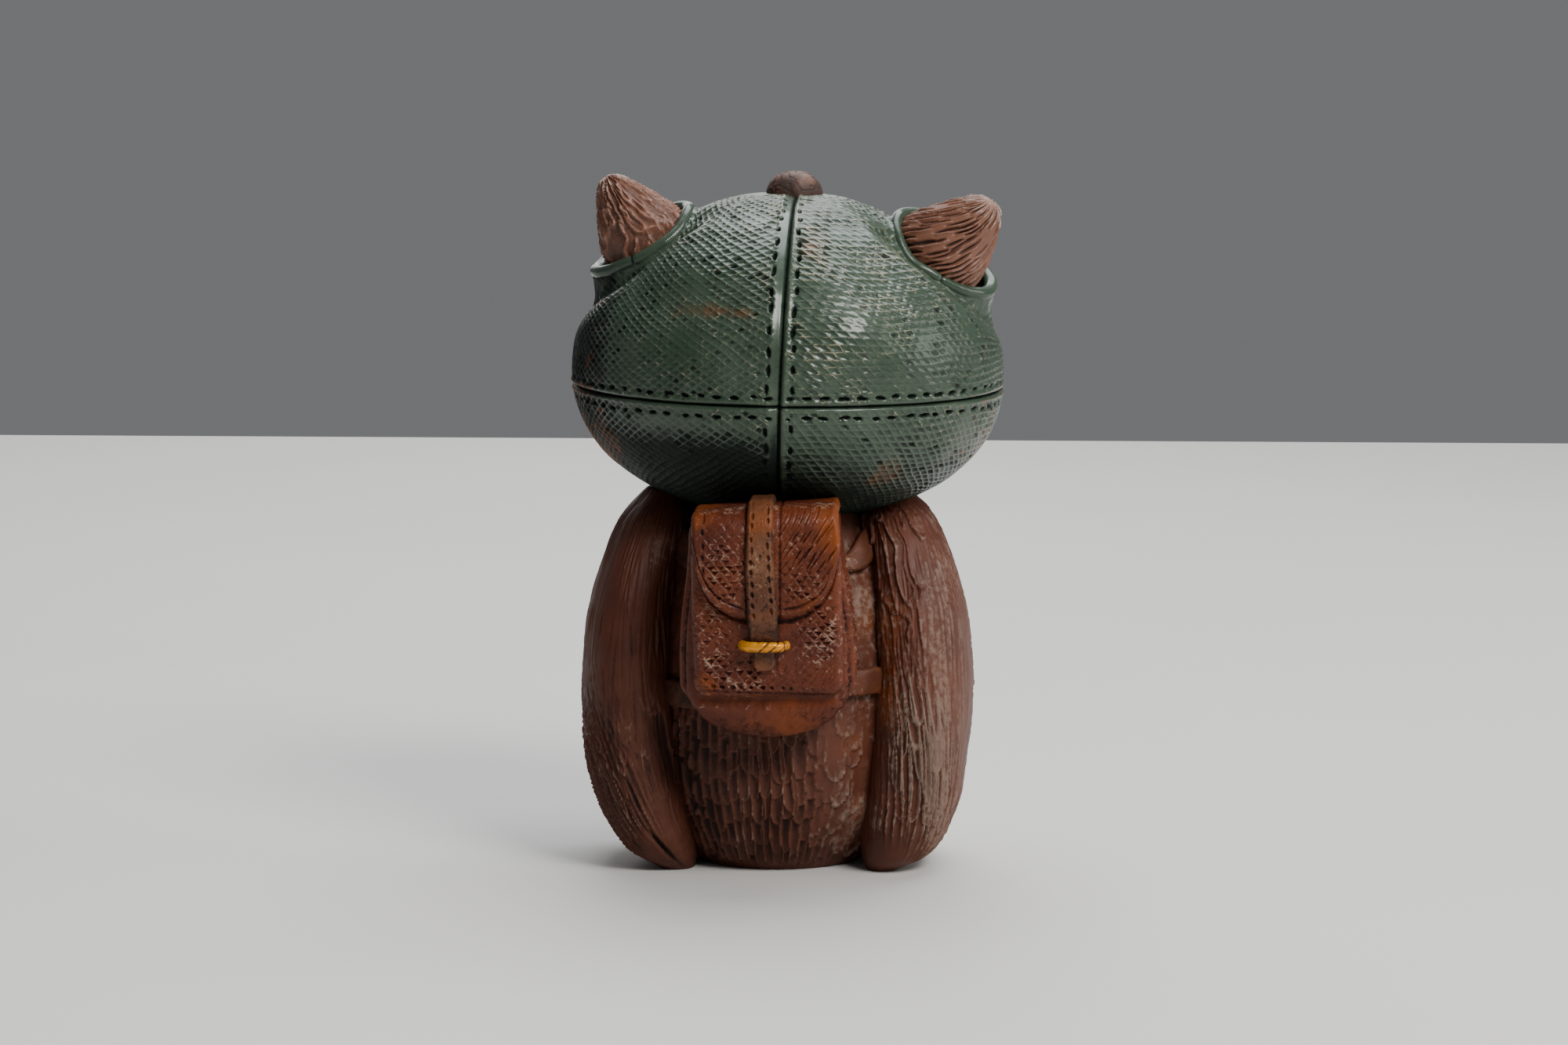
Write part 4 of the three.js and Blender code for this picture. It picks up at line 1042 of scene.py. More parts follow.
@dataclass(frozen=True)
class Ear:
    """One ear opening: its collar, its rolled rim and the tuft that stands in it."""

    side: Side
    back: float
    tuft_lean: float
    tuft_radius: float
    tuft_length: float
    notch: float
    tip_radius: float
    tuft_curve: float
    fall: float
    draw: float
    x: float = 30.084
    y: float = 2.0
    z: float = 26.095
    lean: float = 29.5
    half_width: float = 11.65
    ratio: float = 0.9
    top: float = 0.6
    spread: float = 5.0
    sink: float = 10.0
    rim: float = 1.25
    wall: float = 1.75
    tuft_sink: float = 6.0

    def frame(self) -> tuple[Array, Array]:
        """The ear's axes as rows, and its middle.

        Returns:
            The axes, and the middle in millimetres.
        """
        sign = self.side.value
        axis = np.array([sign * math.sin(math.radians(self.lean)), math.sin(math.radians(self.back)),
                         math.cos(math.radians(self.lean))])
        axis /= np.linalg.norm(axis)
        out = np.array([sign, 0.0, 0.0]) - sign * axis[0] * axis
        out /= np.linalg.norm(out)
        return np.stack([out, np.cross(axis, out), axis]), np.array([sign * self.x, self.y, self.z])

    def local(self, points: Array) -> Array:
        """Takes head places to the ear's frame."""
        axes, middle = self.frame()
        return (points - middle) @ axes.T

    def out(self, points: Array) -> Array:
        """Takes places in the ear's frame to the head's."""
        axes, middle = self.frame()
        return points @ axes + middle

    def reach(self, points: Array) -> Array:
        """How far head places are from the ear's axis, on its oval."""
        local = self.local(points)
        return np.hypot(local[:, 0], local[:, 1] / self.ratio)

    def raise_collar(self, points: Array) -> Array:
        """Lifts the cap's surface to the flared collar round the opening.

        Args:
            points: places on the head.

        Returns:
            The lifted places.
        """
        local = self.local(points)
        far = np.hypot(local[:, 0], local[:, 1] / self.ratio)
        share = np.maximum(0.0, (far - self.half_width - 0.1) / self.spread)
        collar = self.top + 0.75 - (self.sink + 0.75) * share ** (1.0 / 1.3)
        near = (far < 26.0) & (local[:, 2] > -24.0)
        blend = 1.4
        gap = np.clip(0.5 + 0.5 * (collar - local[:, 2]) / blend, 0.0, 1.0)
        lifted = local[:, 2] * (1.0 - gap) + collar * gap + blend * gap * (1.0 - gap)
        lift = np.where(near, np.maximum(lifted - local[:, 2], 0.0), 0.0)
        local[:, 2] += lift * smooth(0.5, 7.0, HEAD.seam_height(points))
        return self.out(local)

    def press(self, points: Array) -> Array:
        """Presses the opening's back and outer end down to the head, as a thumb did, and draws that end out.

        Args:
            points: places in the head's frame.

        Returns:
            The moved places, in the owl's frame.
        """
        local = self.local(points)
        near = smooth(self.half_width + 12.0, self.half_width + 1.0,
                      np.hypot(local[:, 0], local[:, 1] / self.ratio))
        near = near * smooth(-17.0, -8.0, local[:, 2])
        rear = smooth(-8.0, 4.0, 0.75 * self.side.value * local[:, 1] + 0.65 * local[:, 0])
        local[:, 2] -= near * self.fall * (0.25 + 0.75 * rear)
        local[:, 0] += near * self.draw * smooth(0.0, self.half_width, local[:, 0])
        return HEAD.to_world(self.out(local))

    def rim_skin(self) -> Skin:
        """The rolled rim, with the notch where its ends meet.

        Returns:
            The skin of the rim.
        """

        def place(u: Array, v: Array) -> Array:
            """The form of the roll.

            Args:
                u: share of the way round the opening.
                v: share of the way round the roll.

            Returns:
                Places in millimetres.
            """
            turn = TAU * u
            ring = TAU * v
            wave = 0.16 * np.sin(3.0 * turn + 1.0) + 0.1 * np.sin(7.0 * turn)
            gap = (turn - self.notch + np.pi) % (TAU) - np.pi
            pinch = 1.0 - 0.2 * bell(gap, 0.04)
            radius = self.half_width - self.rim + 0.15 + self.rim * pinch * np.cos(ring)
            height = self.top + 0.75 + wave + 1.1 * self.rim * pinch * np.sin(ring)
            return self.press(self.out(xyz(radius * np.cos(turn), self.ratio * radius * np.sin(turn),
                                           height)))

        def carve(u: Array, v: Array, points: Array) -> Marks:
            """Marks of a fingertip, and the joint of the roll's ends.

            Args:
                u: share of the way round the opening.
                v: share of the way round the roll; not used.
                points: the form's places.

            Returns:
                The marks of the carving.
            """
            rough = lump(points, 2.2, 31)
            gap = (TAU * u - self.notch + np.pi) % (TAU) - np.pi
            print_mark = np.sin(TAU * 160.0 * u) * bell(gap - 0.9 * self.side.value, 0.45)
            relief = 0.56 + 0.1 * rough + 0.1 * print_mark - 0.5 * bell(gap, 0.03)
            return marks(0.08 * rough + 0.05 * print_mark, relief, 0.1, 0.05 + 0.2 * rough)

        return Skin(420, 24, place, carve)

    def well_skin(self) -> Skin:
        """The inside wall of the opening, down to the head.

        Returns:
            The skin of the wall.
        """

        def place(u: Array, v: Array) -> Array:
            """The form of the wall.

            Args:
                u: share of the way round the opening.
                v: share of the way down.

            Returns:
                Places in millimetres.
            """
            turn = TAU * u
            radius = self.half_width - self.wall - 0.6 * v
            return self.press(self.out(xyz(radius * np.cos(turn), self.ratio * radius * np.sin(turn),
                                           self.top + 0.6 - 9.0 * v)))

        return Skin(96, 14, place, plain, inward=True)

    def tuft_skin(self) -> Skin:
        """The feather tuft: raised strands on the left one, short slanting cuts on the right one.

        Returns:
            The skin of the tuft.
        """
        lean = math.tan(math.radians(self.tuft_lean))
        combed = self.side is Side.LEFT
        cuts = Slits(wide=1.7, tall=3.3, seed=47, share=0.85, half_width=0.3, half_length=2.2, depth=0.8,
                     burr=0.35, slant=-0.7)

        def place(u: Array, v: Array) -> Array:
            """The form of the tuft.

            Args:
                u: share of the way round it.
                v: share of the way up.

            Returns:
                Places in millimetres.
            """
            turn = TAU * u
            height = -self.tuft_sink + (self.tuft_length + self.tuft_sink) * v
            above = np.maximum(0.0, height)
            share = above / self.tuft_length
            body = self.tuft_radius + (self.tip_radius - self.tuft_radius) * share**self.tuft_curve
            radius = body * np.sqrt(np.maximum(1e-6, 1.0 - share**14))
            return HEAD.to_world(self.out(xyz(radius * np.cos(turn) + above * lean,
                                              self.ratio * radius * np.sin(turn), height)))

        def carve(u: Array, v: Array, points: Array) -> Marks:
            """The tuft's strands or cuts.

            Args:
                u: share of the way round it.
                v: share of the way up.
                points: the form's places.

            Returns:
                The marks of the carving.
            """
            across = 54.0 * u
            down = (1.0 - v) * (self.tuft_length + self.tuft_sink)
            flow = across + (1.3 if combed else 0.8) * lump(xyz(0.7 * across, 0.9 * down), 3.6, 43)
            hair = np.clip(1.0 - np.abs(lump(xyz(flow, 0.36 * down), 1.25, 44)) / 0.34, 0.0, 1.0)
            fine = lump(xyz(flow, 0.25 * down), 0.6, 45)
            tip = smooth(0.7, 1.0, v)
            if combed:
                height = 0.75 * hair**1.4 - 0.3 + 0.1 * fine
            else:
                height = cuts.height(flow, down) * smooth(1.0, 0.9, v) + 0.25 * tip * hair + 0.1 * fine
            patina = 0.2 * (1.0 - tip) + 0.2 * lump(points, 5.0, 46)
            return marks(height * smooth(1.0, 0.97, v), 0.5 + 0.7 * height + 0.12 * tip, 0.1 + 0.9 * tip,
                         patina)

        return Skin(220, 130, place, carve)


EARS = {Side.LEFT: Ear(Side.LEFT, back=8.0, tuft_lean=5.0, tuft_radius=9.1, tuft_length=13.8, notch=1.35,
                       tip_radius=1.9, tuft_curve=1.2, fall=3.9, draw=1.4),
        Side.RIGHT: Ear(Side.RIGHT, back=20.0, tuft_lean=14.0, tuft_radius=9.7, tuft_length=13.6, notch=-1.45,
                        tip_radius=2.6, tuft_curve=1.3, fall=4.3, draw=2.4)}


@dataclass
class Cap:
    """The stitched cap: four panels, the hem round the face, the ear rims and the crown button."""

    columns: int = 350
    upper_rows: int = 250
    lower_rows: int = 160
    stitch_pitch: float = 3.7
    stitch_off: dict[Side, float] = field(default_factory=lambda: {Side.LEFT: 2.6, Side.RIGHT: 2.15})
    level_stitch_off: dict[bool, float] = field(default_factory=lambda: {True: 1.75, False: 2.35})
    face_half: tuple[float, float] = (26.0, 19.5)
    face_drop: float = 3.0
    button_radius: float = 5.7
    button_height: float = 4.7
    hem_radius: float = 1.2
    nets: dict[tuple[Side, bool], ScaleNet] = field(default_factory=lambda: {
        (Side.LEFT, True): ScaleNet(1.45, (41.0, -32.0), 61),
        (Side.LEFT, False): ScaleNet(1.5, (38.0, -36.0), 65),
        (Side.RIGHT, True): ScaleNet(1.6, (2.0, -50.0), 71),
        (Side.RIGHT, False): ScaleNet(1.55, (4.0, -52.0), 75)})
    swells: tuple[tuple[float, ...], ...] = ((-1.1, 23.5, 115.5, 8.0, 5.5, 0.3),
                                             (-1.3, -22.6, 120.5, 5.5, 8.0, 0.5),
                                             (0.9, -17.5, 109.5, 8.0, 6.0), (0.5, 12.0, 122.0, 8.0, 5.0),
                                             (0.4, 10.0, 104.0, 9.0, 6.0), (0.5, -31.0, 104.0, 7.0, 6.0))

    orange_spots: tuple[tuple[float, ...], ...] = (
        (1.0, 9.7, 114.0, 10.0, 2.2), (0.9, -9.0, 127.0, 5.0, 6.0), (1.0, -22.0, 81.0, 7.0, 4.5, -0.6),
        (0.8, 33.0, 84.0, 6.0, 6.0), (0.6, 36.0, 110.0, 5.0, 9.0))

    def panel_place(self, side: Side, upper: bool) -> Place:
        """The form of one panel.

        Args:
            side: which half of the cap.
            upper: whether the panel is above the level seam.

        Returns:
            A function from the grid to places in the head's frame.
        """
        ear = EARS[side]

        def place(u: Array, v: Array) -> Array:
            """The panel's form before the ear is pressed.

            Args:
                u: share of the way from the back to the front.
                v: share of the way from the level seam to the crown or the neck.

            Returns:
                Places in millimetres.
            """
            turn = side.value * np.pi * (0.62 * u + 0.38 * u * u)
            seam = HEAD.seam_rise(turn)
            end = np.full_like(turn, math.pi / 2 if upper else -1.25)
            points = HEAD.at(turn, seam + (end - seam) * v)
            points[:, 0] += HEAD.seam_x * (1.0 - np.minimum(1.0, np.abs(points[:, 0]) / 20.0))
            return ear.raise_collar(points) if upper else points

        return place

    def panel_skin(self, side: Side, upper: bool) -> Skin:
        """One panel, carved with its net, its stitch holes and its seams.

        Args:
            side: which half of the cap.
            upper: whether the panel is above the level seam.

        Returns:
            The skin.
        """
        form = self.panel_place(side, upper)
        ear = EARS[side]
        net = self.nets[side, upper]
        left = side is Side.LEFT
        seed = 80 + 2 * side.value + int(upper)

        def carve(u: Array, v: Array, world: Array) -> Marks:
            """The net, the seams, the stitches and the folds.

            Args:
                u: share of the way from the back to the front.
                v: share of the way from the level seam.
                world: the form's places.

            Returns:
                The marks of the carving.
            """
            points = form(u, v)
            x = points[:, 0]
            upright = np.abs(x - HEAD.seam_x)
            above = HEAD.seam_height(points)
            level = np.abs(above)
            far = ear.reach(points)
            s, t = self.sheet_place(points)
            line_a, line_b = net.lattice(s, t)
            dents, lines = net.height(s, t)
            broad = lump(points, 15.0, seed)
            lumps = lump(points, 3.6, seed + 5)
            strength = 0.35 + 0.65 * smooth(-0.4, 0.3, 0.6 * lump(points, 9.0, seed + 3) + 0.6 * lumps)
            strength *= smooth(ear.half_width - 0.2, ear.half_width + 0.6, far) * smooth(0.5, 1.3, level)
            strength *= smooth(*((1.6, 3.0) if left else (0.7, 1.6)), upright)
            height = strength * dents + 0.2 * broad + 0.1 * lumps + zones(world, *self.swells)
            crease = bell(upright, 0.32) + (0.45 * bell(upright - 0.3, 1.3) if left else 0.0)
            split = bell(level + 0.1 * lump(points, 6.0, 79), 0.22 if upper else 0.28)
            roll = bell(upright - (2.3 if left else 0.95), 0.5) + bell(level - 0.9, 0.35)
            holes = self.stitches(points, upright, level, side, upper)
            local = ear.local(points)
            angle = np.arctan2(local[:, 1], local[:, 0])
            fold = np.sin(13.0 * angle + 2.0 * lumps) * bell(far - ear.half_width - 4.0, 3.2) * float(upper)
            height += (0.16 * roll * (1.0 + 0.8 * lumps) + 0.28 * fold - 0.8 * crease - 0.85 * split
                       - 0.9 * holes)
            relief = 0.58 + strength * (dents + 0.06 * lines) + 0.1 * lumps + 0.12 * fold + 0.1 * roll
            relief -= (0.35 if left else 0.6) * crease + 0.8 * split + 0.95 * holes
            shade = smooth(-2.0, np.where(x > 0.0, -15.0, -24.0), above)
            shade = shade * (1.0 - 0.45 * smooth(-8.0, -30.0, x)) + 0.6 * smooth(28.0, 43.0, x)
            shade = np.minimum(shade, 1.0)
            relief -= (0.55 + 0.4 * smooth(-4.0, 12.0, x)) * shade
            edge = smooth(26.0, 42.0, np.abs(x))
            orange = zones(world, *self.orange_spots)
            # Cream dry brush, partly a painted highlight where light glints right of the seam and along the
            # top of the seam.
            cream = (zone(world, -16.0, 116.0, 11.0, 12.0)
                     + 0.8 * bell(upright, 7.0) * smooth(14.0, 30.0, above))
            specks = smooth(0.25, 0.6, lump(points, 2.0, seed + 13))
            patina = 0.02 + 0.3 * edge * (smooth(0.0, -14.0, above) + bell(level - 0.8, 0.8)) + 0.42 * orange
            patina += (0.1 * lumps + specks * (0.12 + 0.35 * edge)
                       + 0.5 * lines * edge * smooth(8.0, -8.0, above))
            brush = 0.1 + 0.9 * cream + 0.3 * lump(points, 9.0, seed + 9) - 0.25 * shade
            net_marks = {"net_a": line_a, "net_b": line_b, "net": strength * (1.0 - 0.8 * shade)}
            return marks(height, relief, brush, patina) | net_marks

        def keep(u: Array, v: Array) -> Array:
            """Leaves out what lies in the opening of the face or of the ear.

            Args:
                u: share of the way from the back to the front.
                v: share of the way from the level seam.

            Returns:
                True for what stays.
            """
            points = form(u, v)
            x, y, z = points.T
            face = (x / self.face_half[0]) ** 2 + ((z + self.face_drop) / self.face_half[1]) ** 2
            return ~((face < 1.0) & (y < 0.0) | (ear.reach(points) < ear.half_width - ear.wall) & (z > 0.0))

        def place(u: Array, v: Array) -> Array:
            """The panel's form with the ear pressed down."""
            return ear.press(form(u, v)) if upper else HEAD.to_world(form(u, v))

        rows = self.upper_rows if upper else self.lower_rows
        return Skin(self.columns, rows, place, carve, keep, middle=(HEAD.x, 0.0, HEAD.z))

    def sheet_place(self, points: Array) -> tuple[Array, Array]:
        """Unrolls the cap, so that the net keeps its pitch.

        Args:
            points: places in the head's frame.

        Returns:
            Millimetres to the right, as seen from behind, and up.
        """
        x, y, z = (points / np.array([HEAD.half_width, HEAD.half_depth, 33.0])).T
        rise = np.arctan2(z, np.hypot(x, y))
        centre = np.where(x > 0.0, 0.45, -0.45)
        return -42.0 * np.cos(rise) * (np.arctan2(x, y) - centre), 38.0 * rise

    def stitches(self, points: Array, upright: Array, level: Array, side: Side, upper: bool) -> Array:
        """The holes of the stitches along both seams.

        Args:
            points: places in the head's frame.
            upright: how far they are from the vertical seam.
            level: how far they are from the level seam.
            side: which half of the cap.
            upper: whether the panel is above the level seam.

        Returns:
            How deep each place is in a hole, 0 to 1.
        """
        seed = 180 + 2 * side.value + int(upper)
        climb = np.arctan2(points[:, 2] + 3.0, np.hypot(points[:, 1], 1e-6)) * 38.0
        crown = smooth(24.0, 34.0, points[:, 2])
        off = upright - self.stitch_off[side] + 0.7 * crown
        first = self.holes(climb, off, 1.0 - 0.5 * crown, 0.4, seed) * smooth(1.2, 2.6, level)
        around = np.arctan2(points[:, 0] - HEAD.seam_x, points[:, 1]) * 42.5
        long = 0.8 if side is Side.LEFT else 1.0
        second = self.holes(around, level - self.level_stitch_off[upper], long, 0.36, seed + 1)
        return np.maximum(first, second * smooth(0.9, 2.2, upright))

    def holes(self, along: Array, off: Array, long: Array | float, wide: float, seed: int) -> Array:
        """One row of holes.

        Args:
            along: millimetres along the row.
            off: millimetres beside the row.
            long: half the length of a hole.
            wide: half its width.
            seed: another seed gives other steps.

        Returns:
            How deep each place is in a hole, 0 to 1.
        """
        row = StitchRow(self.stitch_pitch, wide, seed, wander=0.3, stray=0.4, twist=0.25, rim=1.2)
        return row.depth(along, off, long)

    def hem_skin(self) -> Skin:
        """The rolled hem round the face.

        Returns:
            The skin of the hem.
        """

        def place(u: Array, v: Array) -> Array:
            """The form of the hem.

            Args:
                u: share of the way round the face.
                v: share of the way round the hem.

            Returns:
                Places in millimetres.
            """
            turn = TAU * u
            ring = TAU * v
            x = (self.face_half[0] - self.hem_radius) * np.cos(turn)
            z = -self.face_drop + (self.face_half[1] - self.hem_radius) * np.sin(turn)
            centre = HEAD.front(x, z, 1.1)
            out = unit(centre * np.array([0.55, 1.0, 0.55]))
            flank = xyz(np.cos(turn), np.zeros_like(turn), np.sin(turn))
            flank = unit(flank - out * np.sum(flank * out, axis=1)[:, None])
            bulk = self.hem_radius * (1.1 + 0.08 * np.sin(9.0 * turn))
            points = (centre + flank * (1.5 * bulk * np.cos(ring))[:, None]
                      + out * (bulk * np.sin(ring))[:, None])
            return HEAD.to_world(points)

        def carve(u: Array, v: Array, points: Array) -> Marks:
            """The hem's stitches.

            Args:
                u: share of the way round the face.
                v: share of the way round the hem.
                points: the form's places.

            Returns:
                The marks of the carving.
            """
            rough = lump(points, 2.4, 35)
            hole = self.holes(u * 140.0, 12.0 * (v - 0.2), 0.9, 0.5, 36)
            return marks(0.1 * rough - 0.5 * hole, 0.55 + 0.3 * rough - 0.9 * hole, 0.4, 0.25 + 0.2 * rough)

        return Skin(420, 24, place, carve)

    def button_skin(self) -> Skin:
        """The leather-brown button on the crown.

        Returns:
            The skin of the button.
        """

        def place(u: Array, v: Array) -> Array:
            """The form of the button, with its wall below.

            Args:
                u: share of the way round it.
                v: share of the way up.

            Returns:
                Places in millimetres.
            """
            turn = TAU * u
            rise = (np.pi / 2) * np.minimum(1.0, v * 1.25 - 0.25)
            level = np.where(v < 0.2, -1.6 * (1.0 - v / 0.2),
                             self.button_height * np.sin(np.maximum(rise, 0.0)))
            ring = self.button_radius * np.cos(np.maximum(rise, 0.0)) ** 0.85
            return HEAD.to_world(xyz(ring * np.cos(turn), ring * np.sin(turn), HEAD.upper - 0.4 + level))

        def carve(u: Array, v: Array, points: Array) -> Marks:
            """Fine cracks.

            Args:
                u: share of the way round it; not used.
                v: share of the way up; not used.
                points: the form's places.

            Returns:
                The marks of the carving.
            """
            rough = lump(points, 2.6, 37)
            crack = smooth(0.12, 0.0, np.abs(lump(points, 1.5, 38)))
            return marks(0.14 * rough - 0.16 * crack, 0.17 + 0.25 * rough - 0.3 * crack, 0.0, 0.3)

        return Skin(120, 50, place, carve)

    def build(self) -> None:
        """Makes the cap's pieces."""
        glaze = CAP.build()
        for side in Side:
            ear = EARS[side]
            for upper in (True, False):
                node = f"cap_{'upper' if upper else 'lower'}_{side.word}"
                skins = [self.panel_skin(side, upper)] + ([ear.well_skin()] if upper else [])
                raise_piece(node, skins, glaze)
            raise_piece(f"ear_rim_{side.word}", [ear.rim_skin()], glaze)
        raise_piece("cap_front_hem", [self.hem_skin()], glaze)
        tuft = TUFT.build()
        raise_piece("crown_button", [self.button_skin()], tuft)
        for side, ear in EARS.items():
            raise_piece(f"ear_tuft_{side.word}", [ear.tuft_skin()], tuft)


# The face


@dataclass
class Face:
    """The guessed face: feathered ground, two discs, glazed eyes and a hooked beak."""

    eye_x: float = 11.3
    eye_z: float = -1.0
    eye_radius: float = 7.0
    eye_height: float = 4.6
    disc_radius: float = 10.7
    disc_height: float = 2.6
    beak_length: float = 11.0
    beak_half: float = 3.6
    beak_reach: float = 6.5
    beak_z: float = -4.0
    depth: float = 2.5

    def seat(self, side: Side) -> tuple[Array, Array]:
        """The axes and the middle of one eye, in the head's frame.

        Args:
            side: the eye's side.

        Returns:
            The axes as rows, and the middle in millimetres.
        """
        x = np.array([side.value * self.eye_x])
        z = np.array([self.eye_z])
        middle = HEAD.front(x, z, self.depth)[0]
        across = HEAD.front(x + 0.5, z, self.depth)[0] - HEAD.front(x - 0.5, z, self.depth)[0]
        up = HEAD.front(x, z + 0.5, self.depth)[0] - HEAD.front(x, z - 0.5, self.depth)[0]
        axis = np.cross(across, up)
        axis /= np.linalg.norm(axis)
        right = np.cross([0.0, 0.0, 1.0], axis)
        right /= np.linalg.norm(right)
        return np.stack([right, np.cross(axis, right), axis]), middle

    def round_skin(self, side: Side, rows: list[tuple[float, float]], steps: tuple[int, int],
                   strokes: StrokeField | None = None) -> Skin:
        """A form turned round the axis of one eye.

        Args:
            side: which eye.
            rows: the outline, as radius and height.
            steps: how finely it is divided.
            strokes: feather strokes that run out from the eye.

        Returns:
            The skin.
        """
        axes, middle = self.seat(side)

        def place(u: Array, v: Array) -> Array:
            """The turned form.

            Args:
                u: share of the way round the axis.
                v: share of the way along the outline.

            Returns:
                Places in millimetres.
            """
            radius, height = profile_at(rows, v)
            turn = TAU * u
            local = xyz(radius * np.cos(turn), radius * np.sin(turn), height)
            return HEAD.to_world(local @ axes + middle)

        def carve(u: Array, v: Array, points: Array) -> Marks:
            """The feather strokes, where there are any.

            Args:
                u: share of the way round the axis.
                v: share of the way along the outline.
                points: the form's places; not used.

            Returns:
                The marks of the carving.
            """
            if strokes is None:
                return {"height": np.zeros_like(u)}
            height = (strokes.height(u * strokes.columns, 3.4 * (1.0 - v))
                      * smooth(0.0, 0.1, v) * smooth(1.0, 0.93, v))
            fine = lump(xyz(120.0 * u, 10.0 * v), 1.5, 52)
            return marks(0.6 * height + 0.06 * fine, 0.65 + 0.8 * height + 0.1 * fine, 0.5, 0.2 + 0.2 * fine)

        return Skin(*steps, place, carve, middle=HEAD.spot(middle - axes[2]))

    def ground_skin(self) -> Skin:
        """The feathered face inside the hem.

        Returns:
            The skin of the face.
        """

        def place(u: Array, v: Array) -> Array:
            """The form of the face."""
            turn = TAU * u
            return HEAD.to_world(HEAD.front(26.5 * v * np.cos(turn), -3.0 + 20.0 * v * np.sin(turn),
                                            self.depth))

        strokes = StrokeField(columns=64, seed=55, lift=0.35, hollow=0.35, drop=0.5)

        def carve(u: Array, v: Array, points: Array) -> Marks:
            """The feather strokes round the face.

            Args:
                u: share of the way round it.
                v: share of the way out.
                points: the form's places.

            Returns:
                The marks of the carving.
            """
            height = strokes.height(u * strokes.columns, 5.0 * (1.0 - v))
            fine = lump(points, 1.2, 56)
            return marks(0.8 * height + 0.06 * fine, 0.6 + 0.7 * height + 0.1 * fine, 0.4, 0.35)

        return Skin(220, 90, place, carve, middle=(HEAD.x, 0.0, HEAD.z))

    def beak_skin(self) -> Skin:
        """The hooked beak between the discs.

        Returns:
            The skin of the beak.
        """
        root = HEAD.front(np.array([0.0]), np.array([self.beak_z]), self.depth)[0]

        def place(u: Array, v: Array) -> Array:
            """The form of the beak.

            Args:
                u: share of the way round it.
                v: share of the way down.

            Returns:
                Places in millimetres.
            """
            turn = TAU * u
            taper = np.sqrt(np.maximum(1e-4, 1.0 - v**1.6)) * smooth(0.0, 0.1, v + 0.03)
            width = self.beak_half * taper * (0.55 + 0.45 * np.minimum(1.0, 2.0 * v))
            reach = self.beak_reach * np.sin(np.pi * (0.12 + 0.72 * v))
            ahead = np.where(np.sin(turn) < 0.0, reach, 5.0) * smooth(0.0, 0.06, v + 0.01)
            return HEAD.to_world(xyz(width * np.cos(turn), root[1] + ahead * np.sin(turn),
                                     root[2] + self.beak_length * (0.4 - v)))

        return Skin(72, 60, place, plain, middle=HEAD.spot(root - np.array([0.0, 1.0, 1.0])))

    def build(self) -> None:
        """Makes the face's pieces."""
        clay = FACE.build()
        raise_piece("head_shell", [self.ground_skin()], clay, name="skin_face")
        strokes = StrokeField(columns=44, seed=51, length=1.3, lift=0.4, hollow=0.4, drop=0.5)
        seat = self.eye_radius + 0.3
        disc = [(seat, -3.0), (seat, 0.5 * self.disc_height), (seat + 0.8, 0.6 * self.disc_height),
                (self.disc_radius - 1.2, self.disc_height), (self.disc_radius - 0.3, 0.8 * self.disc_height),
                (self.disc_radius, 0.4 * self.disc_height), (self.disc_radius, -3.0)]
        dome = [(self.eye_radius, -3.0)]
        dome += [(self.eye_radius * math.cos(a), self.eye_height * math.sin(a))
                 for a in np.linspace(0.0, math.pi / 2, 24)]
        for side in Side:
            raise_piece(f"face_disc_{side.word}", [self.round_skin(side, disc, (200, 60), strokes)],
                        clay)
            axes, middle = self.seat(side)
            glaze = EyeFinish(HEAD.spot(middle + self.eye_height * axes[2])).build(f"eye_glaze_{side.word}")
            raise_piece(f"eye_{side.word}", [self.round_skin(side, dome, (72, 48))], glaze)
        raise_piece("beak", [self.beak_skin()], HORN.build())


# The body, the wings and the feet


